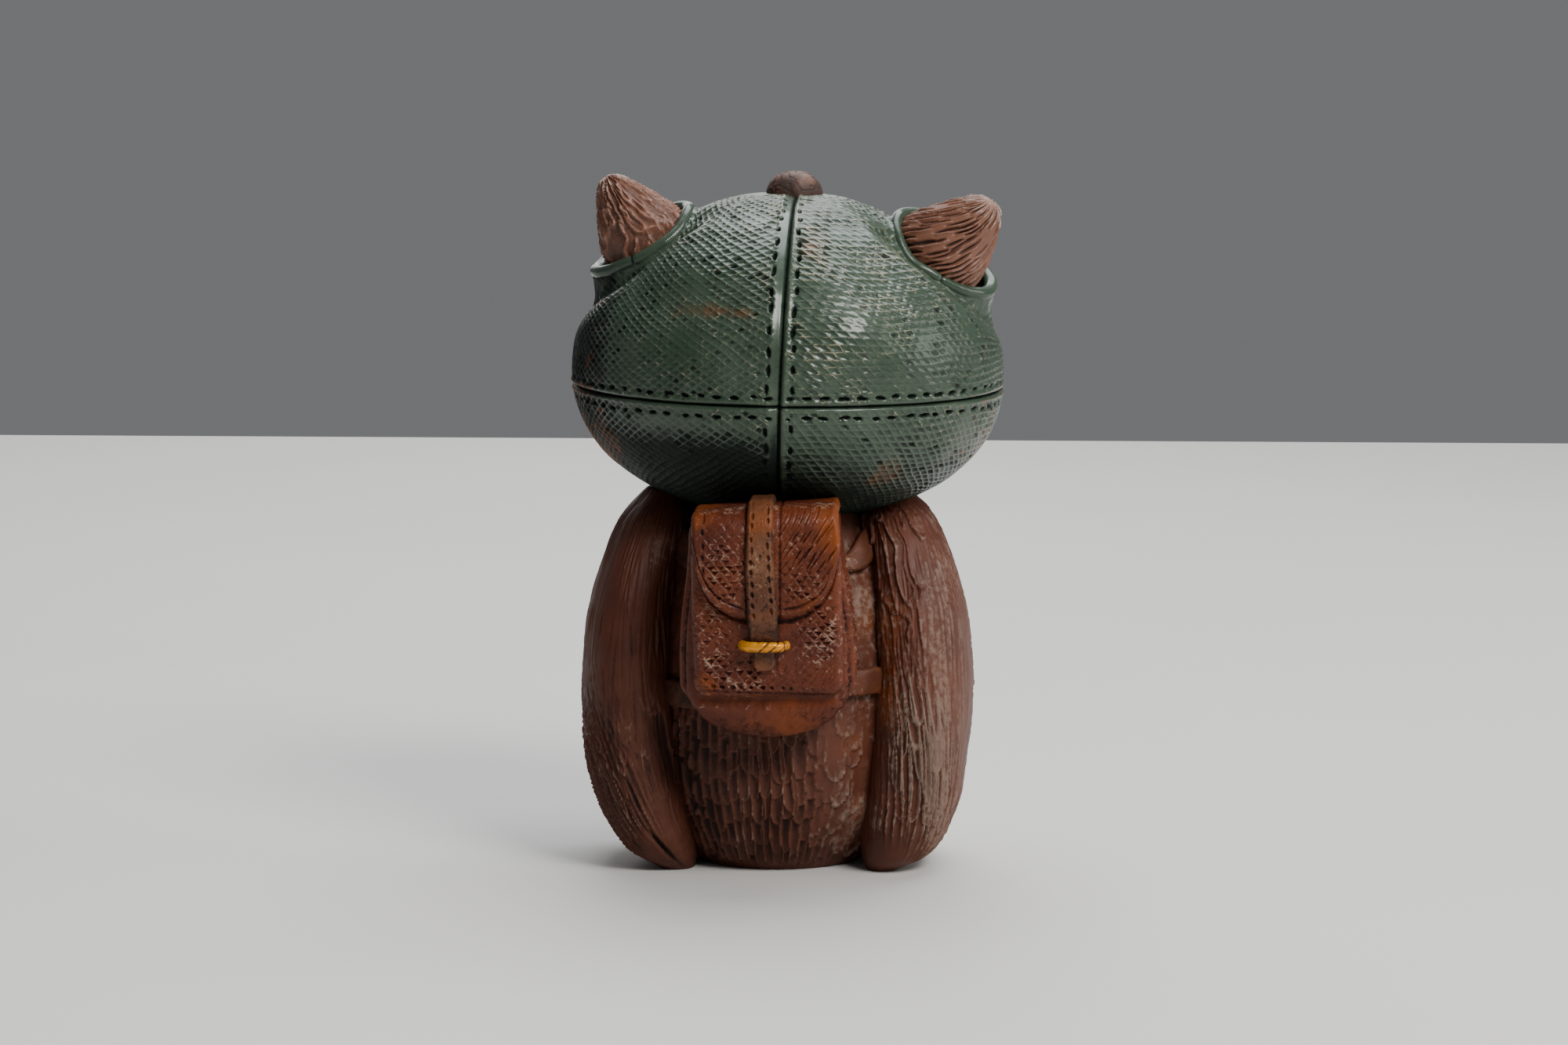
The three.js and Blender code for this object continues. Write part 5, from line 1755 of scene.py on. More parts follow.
@dataclass
class Body:
    """The feathered body between the wings."""

    height: float = 74.0
    widest: float = 30.0
    half_width: float = 28.0
    half_depth: float = 27.0
    base: float = 17.5
    neck: float = 15.8
    inner_base: float = 12.6
    base_share: float = 0.05
    columns: int = 80
    row_pitch: float = 5.3

    def radius(self, z: Array) -> Array:
        """The body's half width at a height.

        Args:
            z: heights in millimetres.

        Returns:
            Half widths in millimetres.
        """
        drop = np.clip((self.widest - z) / self.widest, 0.0, 1.0)
        rise = np.clip((z - self.widest) / (self.height - self.widest), 0.0, 1.0)
        return (self.half_width - (self.half_width - self.base) * drop**3
                - (self.half_width - self.neck) * rise**3)

    def surface(self, turn: Array, z: Array, lift: float = 0.0) -> Array:
        """A place on the body at an angle from +X."""
        radius = self.radius(z) + lift
        return xyz(radius * np.cos(turn), radius * np.sin(turn) * self.half_depth / self.half_width, z)

    def skin(self) -> Skin:
        """The whole body, with its scoops.

        Returns:
            The skin.
        """
        ratio = self.half_depth / self.half_width

        def place(u: Array, v: Array) -> Array:
            """The form of the body, from the sole's edge to the neck.

            Args:
                u: share of the way round it.
                v: share of the way up.

            Returns:
                Places in millimetres.
            """
            phase = TAU * u
            turn = phase - 0.34 * np.sin(2.0 * phase) - np.pi / 2
            low = v < self.base_share
            z = np.where(low, 0.0, self.height * (v - self.base_share) / (1.0 - self.base_share))
            sole = self.inner_base + (self.base - self.inner_base) * v / self.base_share
            radius = np.where(low, sole, self.radius(z))
            return xyz(radius * np.cos(turn), radius * np.sin(turn) * ratio, z)

        scoops = StrokeField(columns=self.columns, seed=91, length=1.3, lift=0.38, hollow=0.8, burr=0.3,
                             drop=0.55, lean=0.16, tip=0.36)
        flakes = StrokeField(columns=46, seed=97, half_width=0.6, length=1.6, lift=0.5, hollow=0.35,
                             burr=0.35, drop=0.5, lean=0.3, wander=0.8, stagger=1.0)

        def carve(u: Array, v: Array, points: Array) -> Marks:
            """The scoops, the flakes and the worn spots.

            Args:
                u: share of the way round it; not used.
                v: share of the way up; not used.
                points: the form's places.

            Returns:
                The marks of the carving.
            """
            x, y, z = points.T
            lumps = lump(points, 6.0, 94)
            drift = lump(points, 11.0, 92)
            columns = np.mod(np.arctan2(y / ratio, x) / TAU, 1.0) * self.columns + 0.5 * drift
            rows = (self.height - z) / self.row_pitch + 0.7 * drift
            fine = lump(xyz(columns * 2.2, z * 0.3), 0.8, 93)
            foot = smooth(0.0, 3.0, z)
            back = smooth(0.0, 8.0, y)
            bare = zones(points, (1.0, -20.5, 9.0, 6.0, 4.0, 0.9), (0.8, -18.5, 31.0, 3.5, 4.0))
            worn = foot * np.clip(1.0 - 1.1 * bare, 0.0, 1.0) * (1.0 - 0.7 * smooth(33.0, 42.0, z) * back)
            scar = zone(points, -8.6, 7.0, 2.2, 1.3)
            crumb = lump(points, 1.3, 95)
            broad = smooth(-8.0, -13.0, x) * back
            scooped = (1.0 - broad) * scoops.height(columns, rows)
            scooped += broad * flakes.height(columns * flakes.columns / self.columns, rows / 1.5)
            height = worn * (scooped + 0.03 * fine) + 0.2 * lumps * foot
            relief = 0.6 + 0.7 * height + 0.06 * fine + 0.5 * scar * crumb - 0.1 * (1.0 - foot)
            # Painted light on the owl's right side and painted shade on its left.
            relief += 0.24 * smooth(-6.0, -18.0, x) - 0.2 * smooth(-2.0, 18.0, x)
            height += scar * (0.9 * crumb - 0.3)
            warm = zones(points, (0.7, -18.0, 52.0, 5.0, 12.0), (1.0, -20.0, 10.0, 5.0, 8.0, 0.6),
                         (0.6, -16.0, 28.0, 7.0, 9.0))
            return marks(height, relief, 0.3 + 0.3 * lumps, 0.02 + 0.55 * warm + 0.12 * lumps)

        return Skin(370, 265, place, carve)

    def build(self) -> None:
        """Makes the body's piece."""
        raise_piece("body_shell", [self.skin()], FEATHER.build(), name="skin_body")


@dataclass
class Wing:
    """One folded wing: a long almond, drawn with fine lines, cut with slits and scooped lower down."""

    side: Side
    spread: float
    power: float = 2.2
    girth: float = 113.0
    top: float = 76.0
    stations: tuple[tuple[float, float, float, float, float], ...] = (
        (20.8, 13.0, 0.0, 3.4, 5.0), (23.4, 10.5, 3.0, 6.9, 11.0), (25.4, 7.0, 9.0, 9.4, 17.0),
        (27.4, 4.0, 18.0, 10.6, 21.0), (28.8, 2.0, 34.0, 10.8, 23.0), (28.2, 1.0, 50.0, 10.3, 21.5),
        (26.3, 0.5, 62.0, 9.0, 18.0), (24.0, 0.5, 70.0, 7.5, 13.0), (22.3, 1.0, 75.5, 4.2, 6.0))

    def form(self, u: Array, v: Array) -> Array:
        """The wing's form. v is 0 at its tip and 1 at the shoulder.

        Args:
            u: share of the way round it.
            v: share of the way up.

        Returns:
            The places, three numbers a row.
        """
        knots = np.array(self.stations)
        share = np.clip((v - 0.05) / 0.92, 0.0, 1.0)
        row = catmull(knots, share)
        low = np.maximum(0.0, 1.0 - row[:, 2] / 22.0)
        shrink = np.sqrt(np.clip(v / 0.05, 0.0, 1.0)) * np.sqrt(np.clip((1.0 - v) / 0.03, 0.0, 1.0))
        turn = TAU * u + np.pi
        c, s = np.cos(turn), np.sin(turn)
        power = 2.0 / self.power
        x = row[:, 0] + self.spread * low + row[:, 3] * np.sign(c) * np.abs(c) ** power * shrink
        y = row[:, 1] + row[:, 4] * np.sign(s) * np.abs(s) ** power * shrink
        z = row[:, 2] + 0.5 * np.clip((v - 0.97) / 0.03, 0.0, 1.0)
        return xyz(self.side.value * x, y, np.maximum(z, 0.0))

    def scooped(self, points: Array) -> Array:
        """Where the wing is scooped, 0 to 1.

        Args:
            points: places in millimetres, three numbers a row.

        Returns:
            The share of scooping at each place.
        """
        front = smooth(4.0, -10.0, points[:, 1]) * smooth(56.0, 34.0, points[:, 2])
        if self.side is Side.RIGHT:
            back = zones(points, (1.0, -29.0, 23.0, 5.5, 17.0, 0.1), (0.5, -22.5, 10.0, 3.0, 6.0))
        else:
            back = zone(points, 32.0, 16.0, 8.0, 16.0, 0.25)
        return np.clip(1.3 * back + front, 0.0, 1.0) * smooth(0.5, 4.0, points[:, 2])

    def skin(self) -> Skin:
        """The wing, with all that is drawn, cut and scooped in it.

        Returns:
            The skin.
        """
        right = self.side is Side.RIGHT
        scoops = StrokeField(columns=46 if right else 58, seed=103 + self.side.value, half_width=0.6,
                             length=2.0, lift=0.35, hollow=1.0 if right else 0.5, burr=0.45, drop=0.4,
                             lean=0.25, wander=0.8, stagger=1.0)
        torn = Slits(wide=3.0, tall=8.0, seed=111 + self.side.value, share=0.62 if right else 0.3,
                     half_length=4.0, depth=0.75, burr=0.5, slant=0.12)
        drawn = Slits(wide=2.2, tall=12.0, seed=121 + self.side.value, share=0.55, half_width=0.35,
                      half_length=6.0, depth=0.2, burr=0.1, slant=0.04)
        flakes = StrokeField(columns=24 if right else 34, seed=127 + self.side.value, half_width=0.62,
                             length=1.6, lift=0.6, hollow=0.08, burr=0.4, drop=0.35, lean=0.4, tip=0.2,
                             wander=0.9, stagger=1.0)

        def carve(u: Array, v: Array, points: Array) -> Marks:
            """The lines, scoops, cuts and slabs.

            Args:
                u: share of the way round the wing.
                v: share of the way up.
                points: the form's places.

            Returns:
                The marks of the carving.
            """
            x, z = np.abs(points[:, 0]), points[:, 2]
            lumps = lump(points, 7.0, 105)
            s = self.girth * u + 1.2 * lump(xyz(self.girth * u, 0.2 * z), 9.0, 103)
            t = self.top - z
            ends = smooth(0.0, 0.07, v) * smooth(1.0, 0.96, v)
            lines = lump(xyz(s, 0.05 * t), 0.75, 104)
            outer = smooth(28.0, 34.0, x) if right else smooth(20.0, 30.0, x)
            lobe = smooth(11.0, 5.0, z) * smooth(29.0, 24.0, x) * smooth(0.0, 6.0, points[:, 1])
            worked = self.scooped(points)
            skewed = (s + (0.12 if right else -0.3) * t * smooth(60.0, 20.0, z)) / self.girth * scoops.columns
            scoop = scoops.height(skewed, t / 8.5 + 0.8 * lumps)
            upper = (smooth(34.0, 46.0, z) * (1.0 - outer) if right
                     else smooth(20.0, 34.0, z) * (1.0 - 0.5 * outer))
            cut = 0.6 * torn.height(s, t) * upper * smooth(74.0, 68.0, z)
            groove = drawn.height(s + 0.4, t) * smooth(30.0, 50.0, z)
            swept = (s + (0.26 if right else -0.1) * t) / self.girth * flakes.columns
            flaky = (smooth(40.0, 52.0, z) * (1.0 - 0.85 * outer) if right
                     else zone(points, 26.0, 24.0, 9.0, 14.0))
            slab = flaky * flakes.height(swept + 0.5 * lumps, t / 11.0 + 0.9 * lumps) * smooth(75.0, 70.0, z)
            crumb = 0.14 * lump(points, 0.9, 107) * worked
            if right:
                gash = np.zeros_like(s)
                flake = 0.8 * zone(points, -21.5, 55.0, 1.0, 9.0, 0.02) * (0.6 + 0.8 * lump(points, 1.6, 106))
            else:
                gash = zone(points, 22.0, 5.5, 0.55, 3.0, 0.75)
                flake = 0.0
            height = ends * ((0.05 + 0.05 * outer) * lines * (1.0 - 0.7 * lobe)
                             + worked * (1.0 - lobe) * scoop + crumb
                             + (1.0 - worked) * ((cut + groove) * (1.0 - 0.6 * flaky) + slab) + flake)
            relief = 0.58 + 0.8 * (height - 1.1 * gash) + 0.08 * lines * (1.0 - 0.7 * lobe)
            height += 0.3 * lumps * ends - 1.1 * gash
            if right:
                brush = 0.15 + 0.9 * zone(points, -30.0, 24.0, 5.0, 16.0) + 0.35 * outer + 0.2 * lumps
                # Painted light: the outer side and some spots of the right wing are lightened.
                painted_light_and_shade = 0.11 * outer * smooth(72.0, 58.0, z) + zones(
                    points, (0.14, -30.5, 24.0, 4.0, 14.0), (0.24, -23.0, 46.0, 3.5, 16.0),
                    (0.08, -29.0, 52.0, 6.0, 16.0))
                warm = zones(points, (1.05, -23.5, 38.0, 3.4, 14.0), (0.4, -26.0, 58.0, 5.0, 9.0))
            else:
                shoulder = zone(points, 23.0, 66.0, 3.5, 6.0)
                brush = 0.15 + 1.1 * zone(points, 23.0, 10.0, 6.0, 8.0) + 0.9 * flaky + 0.15 * lumps
                # Painted light on the shoulder and near the pale lips low down, partly the lips' own colour,
                # and painted shade over the lower half of the left wing.
                painted_light_and_shade = 0.2 * zone(points, 22.5, 9.0, 4.0, 6.0) + 0.2 * shoulder
                painted_light_and_shade += 0.1 * flaky - 0.24 * smooth(58.0, 26.0, z)
                warm = 0.6 * shoulder
            return marks(height, relief + painted_light_and_shade, brush, 0.6 * warm + 0.1 * lumps)

        return Skin(400, 240, self.form, carve)

    def build(self, clay: bpy.types.Material) -> None:
        """Makes the wing's piece."""
        raise_piece(f"wing_{self.side.word}", [self.skin()], clay)


@dataclass
class Feet:
    """Two guessed feet: a pad, three toes and their claws."""

    foot_x: float = 11.5
    foot_y: float = -22.975
    pad: float = 6.4
    toe_radius: float = 3.3
    toe_length: float = 11.0
    toe_spread: float = 24.0
    claw_radius: float = 1.7
    claw_length: float = 2.6

    def toe_place(self, side: Side, degrees: float, points: Array) -> Array:
        """Takes places on a toe that points ahead to where the toe is.

        Args:
            side: the foot's side.
            degrees: the toe's turn.
            points: places in millimetres, three numbers a row.

        Returns:
            The turned places, three numbers a row.
        """
        turn = math.radians(degrees + side.value * 6.0)
        x, y, z = points.T
        return xyz(side.value * self.foot_x + x * math.cos(turn) - y * math.sin(turn),
                   self.foot_y + x * math.sin(turn) + y * math.cos(turn), z)

    def ball_skin(self, centre: Point, half: Point, side: Side, degrees: float) -> Skin:
        """A rounded form on one toe's line, cut flat where it meets the ground.

        Args:
            centre: its middle, on a toe that points ahead.
            half: its half sizes.
            side: which foot.
            degrees: the toe's angle.

        Returns:
            The skin.
        """

        def place(u: Array, v: Array) -> Array:
            """The rounded form.

            Args:
                u: share of the way round it.
                v: share of the way along.

            Returns:
                Places in millimetres.
            """
            turn, rise = TAU * u, np.pi * (v - 0.5)
            points = xyz(centre[0] + half[0] * np.cos(turn) * np.cos(rise),
                         centre[1] + half[1] * np.sin(rise),
                         centre[2] + half[2] * np.sin(turn) * np.cos(rise))
            points[:, 2] = np.maximum(points[:, 2], 0.0)
            return self.toe_place(side, degrees, points)

        def carve(u: Array, v: Array, points: Array) -> Marks:
            """Fine scales and rings.

            Args:
                u: share of the way round it; not used.
                v: share of the way along.
                points: the form's places.

            Returns:
                The marks of the carving.
            """
            scale = lump(points, 1.3, 121, 1)
            lines = np.sin(TAU * 9.0 * v)
            above = smooth(0.2, 1.4, points[:, 2])
            return marks(above * (0.1 * scale + 0.1 * lines), 0.6 + 0.2 * scale + 0.2 * lines, 0.4, 0.3)

        return Skin(48, 40, place, carve)

    def claw_skin(self, side: Side, degrees: float) -> Skin:
        """A curved claw.

        Args:
            side: the foot's side.
            degrees: the toe's turn.

        Returns:
            The skin of the claw.
        """

        def place(u: Array, v: Array) -> Array:
            """The form of the claw.

            Args:
                u: share of the way round it.
                v: share of the way to its tip.

            Returns:
                Places in millimetres.
            """
            turn = TAU * u
            radius = self.claw_radius * np.sqrt(np.maximum(1e-4, 1.0 - v**1.8)) * smooth(-0.02, 0.05, v)
            drop = (self.toe_radius - self.claw_radius * 0.2) - (self.toe_radius - 0.9) * v**2
            points = xyz(radius * np.cos(turn), -self.toe_length + 1.8 - (self.claw_length + 1.0) * v,
                         drop + radius * np.sin(turn))
            return self.toe_place(side, degrees, points)

        return Skin(28, 20, place, plain)

    def build(self) -> None:
        """Makes the feet and the claws."""
        clay = FOOT.build()
        horn = bpy.data.materials.get(HORN.name) or HORN.build()
        words = ("inner", "middle", "outer")
        for side in Side:
            angles = (-self.toe_spread, 0.0, self.toe_spread)
            skins = [self.ball_skin((0.0, 0.0, 0.0), (self.pad, self.pad, self.pad), side, 0.0)]
            skins += [self.ball_skin((0.0, -self.toe_length / 2, self.toe_radius - 0.5),
                                     (self.toe_radius, self.toe_length / 2, self.toe_radius), side, degrees)
                      for degrees in angles]
            raise_piece(f"foot_{side.word}", skins, clay)
            for word, degrees in zip(words[::side.value], angles):
                raise_piece(f"claw_{word}_{side.word}", [self.claw_skin(side, degrees)], horn)


# The backpack and its straps


@dataclass
class Backpack:
    """The backpack: box, stitched panel, flap, closure strap and ring, in a frame of its own."""

    tilt: float = 1.4
    top_slope: float = 2.0
    bottom_slope: float = -0.6
    width: float = 32.6
    top: float = 74.1
    shoulder: float = 38.6
    bottom: float = 30.2
    back: float = 14.0
    face: float = 38.3
    panel_width: float = 29.4
    panel_thick: float = 1.8
    flap_width: float = 28.6
    flap_thick: float = 1.5
    flap_tip: float = 54.1
    flap_sweep: tuple[float, float] = (8.6, 5.0)
    flap_root: float = 27.0
    flap_bend: float = 3.4
    closure_width: float = 5.8
    closure_end: float = 4.5
    closure_thick: float = 1.4
    closure_x: float = 0.6
    closure_tip: float = 44.4
    ring_z: float = 49.2
    ring_half: float = 4.6
    ring_tube: float = 0.95
    gap: float = 0.3
    corner: float = 3.2

    @property
    def seat(self) -> float:
        """How far out the flap lies: on the panel, with a gap below and above it."""
        return self.face + self.gap + self.panel_thick + self.gap

    def to_world(self, points: Array) -> Array:
        """Takes places from the pack's frame to the owl's, with the slopes it was cut with.

        Args:
            points: places in millimetres, three numbers a row.

        Returns:
            The places, three numbers a row.
        """
        x, y, z = points.T
        middle = (self.top + self.bottom) / 2
        share = (z - middle) / ((self.top - self.bottom) / 2)
        slope = np.where(share > 0.0, share * self.top_slope, -share * self.bottom_slope)
        z = z - x * np.tan(np.radians(slope)) - middle
        tilt = math.radians(self.tilt)
        return xyz(x * math.cos(tilt) + z * math.sin(tilt), y,
                   z * math.cos(tilt) - x * math.sin(tilt) + middle)

    def flap_edge(self, x: Array) -> Array:
        """The height of the flap's lower edge."""
        share = np.clip(np.abs(x) / (self.flap_width / 2), 0.0, 1.0)
        return self.flap_tip + self.flap_sweep[0] * share**3 + self.flap_sweep[1] * share**12

    def hide(self, points: Array, seed: int, pressed: Array | float, cuts: Array | float = 0.0
             ) -> tuple[Array, Array]:
        """Pressed leather: pits in crossing rows and slanting cuts, over uneven clay.

        Args:
            points: the places themselves.
            seed: the piece's own seed.
            pressed: how deep the pits are pressed.
            cuts: how deep the slanting cuts are.

        Returns:
            Heights in millimetres, and the relief for the paint.
        """
        s, t = -points[:, 0], points[:, 2] + 0.6 * points[:, 1]
        net = ScaleNet(1.4, (46.0, -50.0), seed, warp=1.0)
        height, line = net.pits(s + 0.3 * lump(points, 1.5, seed + 1), t + 0.3 * lump(points, 1.5, seed + 2))
        broad = lump(points, 6.0, seed + 3)
        fine = lump(points, 0.9, seed + 4)
        blade = Slits(wide=1.25, tall=2.7, seed=seed + 5, share=0.85, half_width=0.17, half_length=1.6,
                      depth=0.42, burr=0.2, slant=0.75)
        slashes = np.asarray(cuts) * blade.height(s, t)
        worn = np.clip(np.asarray(pressed), 0.0, 1.0) * (0.8 + 0.4 * fine)
        grit = lump(points, 0.45, seed + 6)
        relief = 0.55 + worn * (0.9 * height + 0.3 * line * (0.4 + fine))
        relief += 0.8 * slashes + 0.2 * fine + 0.16 * broad + 0.1 * grit
        return worn * height + slashes + 0.14 * broad + 0.06 * fine + 0.02 * grit, relief

    def box_skin(self) -> Skin:
        """The box of the pack, with a rounded belly below the panel and piping along its sides.

        Returns:
            The skin of the box.
        """
        half = np.array([self.width / 2, (self.face - self.back) / 2, (self.top - self.shoulder + 2.0) / 2])
        middle = np.array([0.0, (self.face + self.back) / 2, (self.top + self.shoulder - 2.0) / 2])

        def place(u: Array, v: Array) -> Array:
            """The form of the box.

            Args:
                u: share of the way round it.
                v: share of the way up.

            Returns:
                Places in millimetres.
            """
            turn = TAU * u
            rise = np.pi * (v - 0.5)
            cube = xyz(np.cos(rise) * np.cos(turn), np.cos(rise) * np.sin(turn), np.sin(rise))
            wide = cube / np.max(np.abs(cube), axis=1)[:, None] * half
            core = np.clip(wide, self.corner - half, half - self.corner)
            points = core + self.corner * unit(wide - core, 1e-9)
            share = np.clip(1.0 - (points[:, 0] / half[0]) ** 2, 0.0, 1.0)
            low = smooth(-half[2] + 6.0, -half[2], points[:, 2])
            points[:, 0] *= (np.where(points[:, 0] > 0.0, 1.06, 1.01)
                             - 0.16 * smooth(-10.0, 17.0, points[:, 2])
                             - 0.1 * smooth(-half[2] + 4.0, -half[2] + 0.5, points[:, 2]))
            points[:, 2] -= low * (self.shoulder - self.bottom - 2.0) * share**0.7
            return self.to_world(points + middle)

        def carve(u: Array, v: Array, points: Array) -> Marks:
            """Piping, seams, frayed edge and belly.

            Args:
                u: share of the way round it; not used.
                v: share of the way up; not used.
                points: the form's places.

            Returns:
                The marks of the carving.
            """
            x, y, z = points.T
            belly = smooth(self.shoulder, self.shoulder - 1.5, z)
            height, relief = self.hide(points, 131, 0.0, 0.35 * belly * zone(points, -8.0, 36.0, 8.0, 3.0))
            straw = lump(xyz(3.2 * (z - 0.6 * y), 0.8 * (y + z)), 1.1, 132)
            sides = smooth(13.5, 15.0, np.abs(x)) * smooth(self.shoulder - 1.0, self.shoulder + 3.0, z)
            pipe = bell(y - (self.face - 3.0), 0.9) * sides
            seam = (bell(y - (self.face - 4.6), 0.45) + bell(y - (self.face - 1.5), 0.45)) * sides
            fray = np.maximum(straw, 0.0) * (sides * (x < 0.0) + zone(points, -15.0, 38.5, 3.0, 2.0))
            ragged = lump(points, 1.1, 133)
            lip = bell(z - (self.shoulder - 1.9) + 0.4 * ragged, 0.3) * smooth(20.0, 34.0, y)
            crease = (bell(z - (self.shoulder - 0.3), 1.0)
                      * smooth(20.0, 34.0, y) * smooth(15.5, 14.0, np.abs(x)))
            under = smooth(self.shoulder - 2.0, self.bottom, z)
            height += 0.45 * pipe - 0.6 * seam + 0.8 * fray + 0.3 * lip - 0.4 * crease
            # The under and belly terms of the relief lay painted shade below the shoulder and over the belly.
            relief += (0.1 * pipe - 0.4 * seam + 0.45 * fray + 0.3 * lip * (0.4 + ragged) - 0.1 * under
                       - 0.08 * belly)
            brush = 0.6 * lip + 0.5 * fray - 0.5 * belly * (1.0 - lip)
            return marks(height, relief, brush, 0.05 + 0.35 * crease + 0.27 * belly + 0.1 * under)

        return Skin(300, 230, place, carve)

    def panel_skin(self) -> Skin:
        """The stitched panel on the outer face, with a rounded edge.

        Returns:
            The skin of the panel.
        """
        low, high = self.shoulder + 0.2, self.top - self.flap_bend
        half = np.array([self.panel_width / 2, (high - low) / 2])
        thick = self.panel_thick + self.gap

        def place(u: Array, v: Array) -> Array:
            """The form of the plate.

            Args:
                u: share of the way across.
                v: share of the way up.

            Returns:
                Places in millimetres.
            """
            square = np.stack([2.0 * u - 1.0, 2.0 * v - 1.0], axis=1)
            size = np.maximum(np.max(np.abs(square), axis=1), 1e-9)
            edge = square / size[:, None] * half
            core = np.clip(edge, self.corner - half, half - self.corner)
            eased, sunk = round_off(size, 0.88)
            x, z = ((core + self.corner * unit(edge - core, 1e-9)) * eased[:, None]).T
            return self.to_world(xyz(x, self.face + thick - thick * sunk, z + (low + high) / 2))

        def carve(u: Array, v: Array, points: Array) -> Marks:
            """Pressed leather, stitches and edges.

            Args:
                u: share of the way across; not used.
                v: share of the way up; not used.
                points: the form's places.

            Returns:
                The marks of the carving.
            """
            x, z = points[:, 0], points[:, 2]
            pressed = zones(points, (1.2, 10.4, 49.5, 3.2, 7.5, 0.1), (1.2, 5.5, 42.5, 7.0, 3.0, -0.6),
                            (1.4, -10.3, 51.5, 3.7, 6.3))
            height, relief = self.hide(points, 141, pressed,
                                       0.15 * smooth(-1.0, -5.0, x) * smooth(48.0, 44.0, z))
            row = z - low - 1.9 - 0.03 * x
            fade = 0.7 - 0.42 * smooth(0.0, -8.0, x)
            holes = StitchRow(1.95, 0.36, 142).depth(x, row, 0.45) * (np.abs(x) < 12.0) * fade
            line = bell(row + 1.1, 0.3) * smooth(13.5, 12.5, np.abs(x))
            sag = 0.6 * bell(x, 9.0) * bell(z - 50.0, 8.0)
            # Painted shadow under the flap's edge and beside the closure strap, over shallow grooves there.
            under = bell(z - self.flap_edge(x) + 0.35, 0.5)
            beside = (bell(np.abs(x - self.closure_x) - 2.5, 0.3)
                      * smooth(self.closure_tip - 0.8, self.closure_tip, z))
            height += sag - 0.6 * holes - 0.2 * line - 0.4 * under - 0.15 * beside
            relief -= 0.7 * holes + 0.3 * line + 0.45 * under + 0.3 * beside
            rim = smooth(12.6, 14.4, np.abs(x)) + smooth(low + 1.2, low - 0.2, z)
            warm = zones(points, (1.0, 11.5, 42.0, 3.5, 3.5), (0.6, -3.0, 40.5, 10.0, 1.6)) + 0.4 * rim
            cream = zones(points, (1.0, 9.5, 47.0, 3.5, 6.5), (0.7, -10.5, 52.0, 3.5, 6.0),
                          (0.5, -5.0, 44.0, 7.0, 3.5))
            return marks(height, relief, 0.15 + 0.8 * cream, 0.02 + 0.55 * warm)

        return Skin(270, 270, place, carve, middle=(0.0, self.back, 55.0))

    def fold_line(self, lift: float) -> list[tuple[float, float]]:
        """The side view of what lies over the top edge, as y and z.

        Args:
            lift: how far above the box the line lies.

        Returns:
            The corners of the line, in millimetres.
        """
        face = self.seat + lift
        top = self.top + self.gap + lift
        bend = self.flap_bend + lift
        rows = [(self.flap_root, top), (self.flap_root + 4.0, top)]
        for angle in np.linspace(0.0, math.pi / 2, 13):
            rows.append((face - bend + bend * math.sin(angle), top - bend + bend * math.cos(angle)))
        return rows

    def flap_skin(self) -> Skin:
        """The flap, bent over the top edge.

        Returns:
            The skin of the flap.
        """
        face = self.seat
        out = face + self.flap_thick
        line = np.array(self.fold_line(self.flap_thick)
                        + [(out + 0.6, 66.0), (out + 0.5, 60.0), (out + 0.2, 53.5)])
        length = pace(line)
        half = self.flap_width / 2

        def place(u: Array, v: Array) -> Array:
            """The form of the flap.

            Args:
                u: share of the way across.
                v: share of the way from its root to its edge.

            Returns:
                Places in millimetres.
            """
            wide, side_sunk = round_off(2.0 * u - 1.0, 0.93)
            eased, end_sunk = round_off(v, 0.955)
            along = eased * np.interp(-self.flap_edge(wide * half), -line[6:, 1], length[6:])
            y, z = np.interp(along, length, line[:, 0]), np.interp(along, length, line[:, 1])
            sink = np.maximum(side_sunk, end_sunk) * (self.flap_thick + self.gap)
            low = smooth(72.0, 60.0, z)
            taper = half - 0.3 * smooth(74.0, 62.0, z) + 0.6 * bell(z - 68.0, 4.0) * (u < 0.5)
            over = smooth(face - 4.0, out - 1.0, y)
            return self.to_world(xyz(wide * taper, y - sink * over, z - sink * (1.0 - over) * (1.0 - low)))

        def carve(u: Array, v: Array, points: Array) -> Marks:
            """Pressed leather, piping and stitches.

            Args:
                u: share of the way across; not used.
                v: share of the way from its root to its edge; not used.
                points: the form's places.

            Returns:
                The marks of the carving.
            """
            x, y, z = points.T
            pressed = zones(points, (1.3, 7.6, 64.0, 4.8, 6.5), (1.2, -8.0, 60.5, 6.0, 4.0),
                            (0.5, -6.0, 69.0, 3.0, 3.5))
            height, relief = self.hide(points, 151, pressed, 1.1 * zone(points, -8.7, 68.0, 5.6, 5.6))
            edge = z - self.flap_edge(x) - 2.2
            line = bell(edge, 0.3) * (y > face - 1.0) * smooth(1.0, 2.5, np.abs(x - self.closure_x) - 2.0)
            dash = (StitchRow(2.6, 0.3, 152).depth(z, np.abs(x) - 12.4, 0.8)
                    * smooth(62.0, 64.0, z) * (x > 0.0))
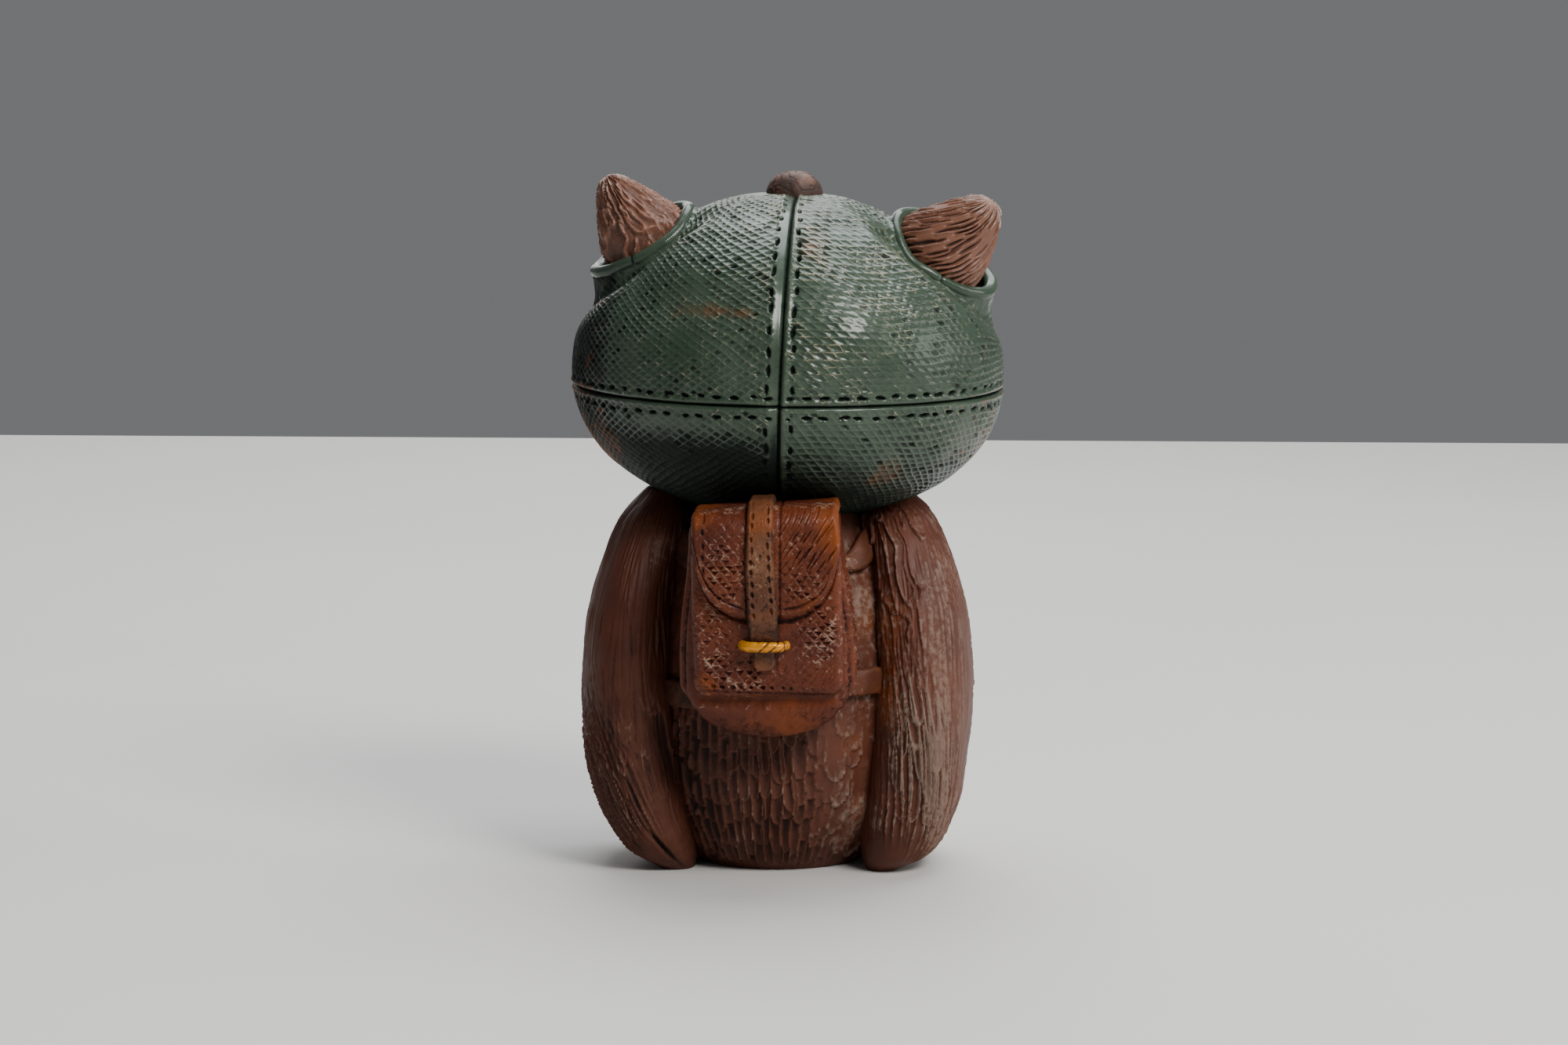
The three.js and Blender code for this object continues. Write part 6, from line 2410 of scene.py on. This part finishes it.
            # Painted shadow beside the closure strap, over a shallow groove.
            beside = bell(np.abs(x - self.closure_x) - 3.1, 0.3)
            bulge = 0.4 * bell(np.abs(x) - 8.0, 4.0) * smooth(56.0, 60.0, z) * smooth(76.0, 72.0, z)
            height += bulge - 0.35 * line - 0.3 * dash - 0.25 * beside
            relief -= 0.5 * line + 0.4 * dash + 0.3 * beside
            warm = 0.5 * smooth(12.0, 13.8, np.abs(x)) + zones(
                points, (1.0, 11.5, 74.5, 3.5, 3.5), (1.0, -11.5, 73.5, 4.0, 5.0), (0.6, 8.0, 56.5, 5.0, 1.8),
                (0.6, -7.0, 57.5, 6.0, 3.0), (0.7, -12.0, 66.0, 4.0, 8.0))
            crest = bell(y - (face - 3.0), 2.0) * smooth(self.top - 1.0, self.top + 0.8, z)
            brush = 0.35 + 0.4 * zone(points, -8.0, 60.0, 6.0, 5.0) + 0.6 * crest
            return marks(height, relief + 0.15 * crest, brush, 0.05 + 0.5 * warm)

        return Skin(270, 290, place, carve, middle=(0.0, self.back, 60.0))

    def closure_skin(self) -> Skin:
        """The closure strap, narrowed where it goes through the ring.

        Returns:
            The skin of the strap.
        """
        face = self.seat
        lift = self.flap_thick + self.gap + self.closure_thick
        high, low = face + lift, face + self.closure_thick
        rows = self.fold_line(lift)[1:] + [
            (high + 0.6, 66.0), (high + 0.5, 58.0), (high + 0.1, self.flap_tip), (low + 0.9, 51.7),
            (low, self.ring_z), (low, self.closure_tip)]

        def place(u: Array, v: Array) -> Array:
            """The form of the strap.

            Args:
                u: share of the way across.
                v: share of the way from its root to its tip.

            Returns:
                Places in millimetres.
            """
            y, z = profile_at(rows, v)
            half = (self.closure_width - 0.7 * smooth(60.0, 74.0, z)) / 2
            half += (self.closure_end / 2 - half) * smooth(50.4, 48.6, z)
            tip = np.clip((z - self.closure_tip) / 2.0, 0.0, 1.0)
            half *= (1.0 - (1.0 - tip) ** 3.0 * 0.999) ** (1.0 / 3.0)
            wide, sunk = round_off(2.0 * u - 1.0, 0.72)
            sink = sunk * self.closure_thick
            over = smooth(face - 4.0, face + 1.0, y)
            bow = 0.35 * bell(z - 66.0, 8.0)
            return self.to_world(xyz(self.closure_x + wide * half + bow, y - sink * over,
                                     z - sink * (1.0 - over)))

        def carve(u: Array, v: Array, points: Array) -> Marks:
            """Stitches, worn edges and specks.

            Args:
                u: share of the way across.
                v: share of the way from its root to its tip; not used.
                points: the form's places.

            Returns:
                The marks of the carving.
            """
            z = points[:, 2]
            across = (2.0 * u - 1.0) * self.closure_width / 2
            rough = lump(points, 2.5, 161)
            fine = lump(points, 0.7, 162)
            holes = StitchRow(2.2, 0.34, 163).depth(z + (across > 0.0), np.abs(across) - 1.75, 0.6)
            holes *= smooth(54.0, 55.5, z) * smooth(77.5, 76.0, z)
            edge = smooth(0.74, 0.85, np.abs(2.0 * u - 1.0))
            pale = bell(z - 64.5, 6.5)
            speck = smooth(0.25, 0.6, lump(points, 0.6, 164)) * (0.4 + pale)
            height = 0.1 * rough + 0.05 * fine - 0.5 * holes - 0.12 * speck + 0.1 * bell(z - 46.0, 2.0)
            relief = 0.49 + 0.12 * rough + 0.14 * fine - 0.55 * holes - 0.25 * edge
            relief += 0.16 * pale - 0.35 * speck - 0.22 * bell(z - 51.6, 2.6)
            patina = 0.1 + 0.6 * bell(z - 73.5, 3.0) + 0.2 * rough + 0.3 * holes
            patina += 0.35 * smooth(49.0, 46.5, z) + 0.3 * bell(z - 56.0, 2.5)
            return marks(height, relief, 0.1 + 0.8 * pale, patina)

        return Skin(64, 360, place, carve, middle=(self.closure_x, self.back, 58.0))

    def ring_skin(self) -> Skin:
        """The ring over the strap, smooth but for a few scratches and a small curl at its end.

        Returns:
            The skin of the ring.
        """
        face = self.seat
        crest = face + self.closure_thick + self.gap + self.ring_tube
        end = self.ring_half - self.ring_tube
        knots = np.array([(-end - 0.6, face), (-end - 0.3, face + self.ring_tube), (-end + 0.9, crest - 0.2),
                          (0.0, crest + 0.15), (end - 0.9, crest - 0.1), (end + 0.3, face + self.ring_tube),
                          (end + 0.6, face)])

        def place(u: Array, v: Array) -> Array:
            """The form of the ring.

            Args:
                u: share of the way round the tube.
                v: share of the way along it.

            Returns:
                Places in millimetres.
            """
            line = catmull(knots, v)
            ahead = unit(catmull(knots, v + 0.01) - catmull(knots, v - 0.01))
            turn = TAU * u
            tube = self.ring_tube * (1.0 - 0.12 * bell(v - 0.1, 0.12))
            out = tube * np.cos(turn)
            return self.to_world(xyz(self.closure_x + line[:, 0] - ahead[:, 1] * out,
                                     line[:, 1] + ahead[:, 0] * out,
                                     self.ring_z + 1.08 * tube * np.sin(turn) + 0.03 * line[:, 0]))

        def carve(u: Array, v: Array, points: Array) -> Marks:
            """Scratches and a curl.

            Args:
                u: share of the way round the tube.
                v: share of the way along it.
                points: the form's places.

            Returns:
                The marks of the carving.
            """
            slanted = v * 9.0 + 0.5 * np.sin(TAU * u)
            cut = (smooth(0.2, 0.05, np.abs(np.mod(slanted, 1.0) - 0.5))
                   * smooth(0.62, 0.5, v) * smooth(0.12, 0.2, v))
            curl = bell(v - 0.17, 0.02) + bell(v - 0.25, 0.015)
            fine = lump(points, 0.8, 171)
            # The lower half of the ring gets painted shade.
            relief = 0.56 - 0.45 * cut - 0.6 * curl + 0.3 * fine - 0.25 * smooth(-0.2, -0.9, np.sin(TAU * u))
            return marks(-0.12 * cut - 0.2 * curl + 0.05 * fine, relief, 0.3, 0.1)

        return Skin(48, 170, place, carve)

    def build(self) -> None:
        """Makes the pack's pieces."""
        leather = PACK.build()
        raise_piece("pack_body", [self.box_skin()], leather)
        raise_piece("pack_front_panel", [self.panel_skin()], leather)
        raise_piece("pack_flap", [self.flap_skin()], leather)
        raise_piece("pack_closure_strap", [self.closure_skin()], STRAP.build())
        raise_piece("pack_ring", [self.ring_skin()], GOLD.build())


@dataclass
class ShoulderStrap:
    """One strap, from the pack's shoulder round the wing's front and back to the pack."""

    side: Side
    drop: float
    body: Body
    width: float = 5.3
    thick: float = 1.3
    ends: tuple[tuple[float, float], tuple[float, float]] = ((60.0, 61.8), (68.0, 39.1))
    route: tuple[tuple[float, float], ...] = (
        (46, 63.1), (32, 66.1), (10, 68.07), (-16, 68.07), (-38, 65.6), (-54, 59.5), (-61, 52.1), (-56, 44.6),
        (-38, 40), (-14, 38.6), (12, 38.6), (34, 38.96), (50, 39.13))

    def skin(self) -> Skin:
        """The rounded band laid on the body, run on behind the pack at both ends.

        Returns:
            The skin.
        """
        rows = np.array([self.ends[0], *self.route, self.ends[1]])
        fall = self.drop * np.clip(2.0 * np.linspace(0.0, 1.0, len(rows)) - 1.0, 0.0, 1.0)
        knots = self.body.surface(np.radians(rows[:, 0]), rows[:, 1] - fall, 0.5 + self.thick / 2)

        def place(u: Array, v: Array) -> Array:
            """The form of the band.

            Args:
                u: share of the way round its section.
                v: share of the way along it.

            Returns:
                Places in millimetres.
            """
            centre = catmull(knots, v)
            along = unit(catmull(knots, v + 0.004) - catmull(knots, v - 0.004))
            out = unit(centre * np.array([1.0, 1.0, 0.0]))
            out[:, 2] = self.body.radius(centre[:, 2] - 0.5) - self.body.radius(centre[:, 2] + 0.5)
            out = unit(out - along * np.sum(out * along, axis=1)[:, None])
            wide = np.cross(along, out)
            turn = TAU * u
            c, s = np.cos(turn), np.sin(turn)
            ends = bell(v, 0.16) + bell(v - 1.0, 0.12)
            thick = self.thick * (1.0 + 0.5 * ends)
            x = np.sign(c) * np.abs(c) ** 0.6 * self.width / 2 * (1.0 - 0.45 * bell(v - 0.02, 0.045))
            y = np.sign(s) * np.abs(s) ** 0.8 * thick / 2
            points = centre + wide * x[:, None] + out * y[:, None]
            return points * np.array([self.side.value, 1.0, 1.0])

        def carve(u: Array, v: Array, points: Array) -> Marks:
            """Worn leather and the frayed end.

            Args:
                u: share of the way round its section.
                v: share of the way along it.
                points: the form's places.

            Returns:
                The marks of the carving.
            """
            rough = lump(points, 2.2, 181)
            fine = lump(points, 0.8, 182)
            right = self.side is Side.RIGHT
            worn = 0.45 * bell(v - 0.05, 0.025) if right else 0.1 * bell(v, 0.08)
            pale = worn + 0.5 * bell(v - 0.95, 0.02) * right
            # Painted shade at both ends of the left strap, where it goes behind the pack.
            dark = 0.0 if right else 0.25 * (bell(v, 0.12) + bell(v - 1.0, 0.14))
            grain = lump(xyz(5.0 * np.sin(TAU * u), 20.0 * v), 0.8, 183) * bell(v, 0.09)
            height = 0.12 * rough + 0.05 * fine * (1.0 + 3.0 * pale) + 0.3 * grain
            relief = 0.5 - dark + 0.16 * rough + 0.16 * fine + 0.12 * pale + 0.6 * grain
            patina = 0.1 + 0.2 * rough + 0.4 * bell(v - 0.95, 0.08) * right
            return marks(height, relief, 0.25 + 0.9 * pale, patina)

        return Skin(48, 260, place, carve, middle=(0.0, 0.0, 55.0))

    def build(self, leather: bpy.types.Material) -> None:
        """Makes the strap's piece."""
        raise_piece(f"shoulder_strap_{self.side.word}", [self.skin()], leather)


# What stays of the CAD, and the studio


FOIL = (rgb(0.75, 0.76, 0.78), rgb(0.35, 0.36, 0.38))


@dataclass
class InnerPieces:
    """The CAD nodes that stay as they are: cores, dowel and base disc."""

    finishes: dict[str, HiddenFinish] = field(default_factory=lambda: {
        "body_core": HiddenFinish("foil", *FOIL, 240.0, 0.35, 0.9),
        "head_core": HiddenFinish("foil_head", *FOIL, 240.0, 0.35, 0.9),
        "neck_dowel": HiddenFinish("dowel_wood", rgb(0.62, 0.46, 0.28), rgb(0.42, 0.28, 0.15), 500.0, 0.6,
                                   stretch=(1.0, 1.0, 0.08)),
        "base_disc": HiddenFinish("base_clay", rgb(0.20, 0.13, 0.09), rgb(0.12, 0.075, 0.05), 160.0, 0.75)})

    def dress(self, nodes: dict[str, bpy.types.Object]) -> None:
        """Gives each node its material.

        Args:
            nodes: the frame's nodes.
        """
        for name, finish in self.finishes.items():
            nodes[name].data.materials.clear()
            nodes[name].data.materials.append(finish.build())
            LOG.info("%s keeps its solid", name)


@dataclass
class Studio:
    """Floor, light and camera."""

    distance: float = 0.9029
    pitch: float = 7.0
    turn: float = 3.0
    target: Point = (-0.001195, 0.0, 0.06828)
    lens: float = 102.08
    sensor: float = 36.0
    table_half: float = 4.0
    table_edge: float = 0.82
    room_light: float = 0.21
    lamps: tuple[tuple[str, Point, float, float, Point], ...] = (
        ("window", (-0.52, 0.62, 0.78), 0.4, 12.5, (1.0, 0.98, 0.95)),
        ("skylight", (-0.12, -0.42, 1.05), 0.9, 17.0, (0.93, 0.97, 1.0)),
        ("side", (-1.15, 0.1, 0.45), 0.6, 5.0, (1.0, 0.98, 0.95)),
        ("front", (0.3, -1.2, 0.6), 0.8, 4.0, (1.0, 0.98, 0.95)))

    def build(self) -> None:
        """Makes the floor, the lights and the camera."""
        self.lay_floor()
        for lamp in self.lamps:
            self.hang_light(*lamp)
        world = bpy.data.worlds.new("soft_room")
        world.use_nodes = True
        room = world.node_tree.nodes["Background"].inputs
        room["Color"].default_value = rgb(0.80, 0.81, 0.83)
        room["Strength"].default_value = self.room_light
        bpy.context.scene.world = world
        self.stand_camera()

    def lay_floor(self) -> None:
        """A plain pale floor."""
        bm = bmesh.new()
        bmesh.ops.create_grid(bm, x_segments=1, y_segments=1, size=self.table_half)
        bmesh.ops.translate(bm, verts=bm.verts, vec=(0.0, self.table_half - self.table_edge, 0.0))
        mesh = bpy.data.meshes.new("floor")
        bm.to_mesh(mesh)
        bm.free()
        paint = Paint("pale_floor")
        shade = paint.noise(6.0, 2.0)
        paint.feed(paint.shader.inputs["Base Color"],
                   paint.mix(shade, rgb(0.54, 0.53, 0.51), rgb(0.58, 0.57, 0.55)))
        paint.feed(paint.shader.inputs["Roughness"], 0.7)
        mesh.materials.append(paint.material)
        floor = bpy.data.objects.new("floor", mesh)
        bpy.context.scene.collection.objects.link(floor)

    def hang_light(self, name: str, place: Point, size: float, power: float, colour: Point) -> None:
        """Hangs one soft square light that faces the owl.

        Args:
            name: the light's name.
            place: where it hangs, in metres.
            size: the length of its side.
            power: its power in watts.
            colour: its colour.
        """
        lamp = bpy.data.lights.new(name, "AREA")
        lamp.size = size
        lamp.energy = power
        lamp.color = colour
        holder = bpy.data.objects.new(name, lamp)
        bpy.context.scene.collection.objects.link(holder)
        holder.location = place
        holder.rotation_euler = (Vector((0.0, 0.0, 0.08)) - Vector(place)).to_track_quat("-Z", "Y").to_euler()

    def stand_camera(self) -> None:
        """The camera of the photograph: behind the owl and a little above it."""
        turn, pitch = math.radians(self.turn), math.radians(self.pitch)
        forward = Vector((math.sin(turn) * math.cos(pitch), -math.cos(turn) * math.cos(pitch),
                          -math.sin(pitch)))
        right = Vector((-math.cos(turn), -math.sin(turn), 0.0))
        up = right.cross(forward)
        camera = bpy.data.cameras.new("camera")
        camera.lens = self.lens
        camera.sensor_width = self.sensor
        camera.sensor_fit = "HORIZONTAL"
        camera.clip_start = 0.05
        camera.clip_end = 30.0
        holder = bpy.data.objects.new("camera", camera)
        bpy.context.scene.collection.objects.link(holder)
        place = Vector(self.target) - forward * self.distance
        axes = Matrix((right, up, -forward)).transposed().to_4x4()
        holder.matrix_world = Matrix.Translation(place) @ axes
        bpy.context.scene.camera = holder


def main() -> None:
    """Loads the frame, builds every piece on it and sets up the studio."""
    logging.basicConfig(level=logging.INFO, format="%(message)s")
    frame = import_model()
    body = Body()
    body.build()
    feather = bpy.data.materials[FEATHER.name]
    for side, spread in ((Side.LEFT, -1.3), (Side.RIGHT, 1.0)):
        Wing(side, spread).build(feather)
    Cap().build()
    Face().build()
    Feet().build()
    Backpack().build()
    strap = YOKE.build()
    for side, drop in ((Side.LEFT, 3.2), (Side.RIGHT, 0.0)):
        ShoulderStrap(side, drop, body).build(strap)
    InnerPieces().dress(frame["nodes"])
    Studio().build()


if __name__ == "__main__":
    main()
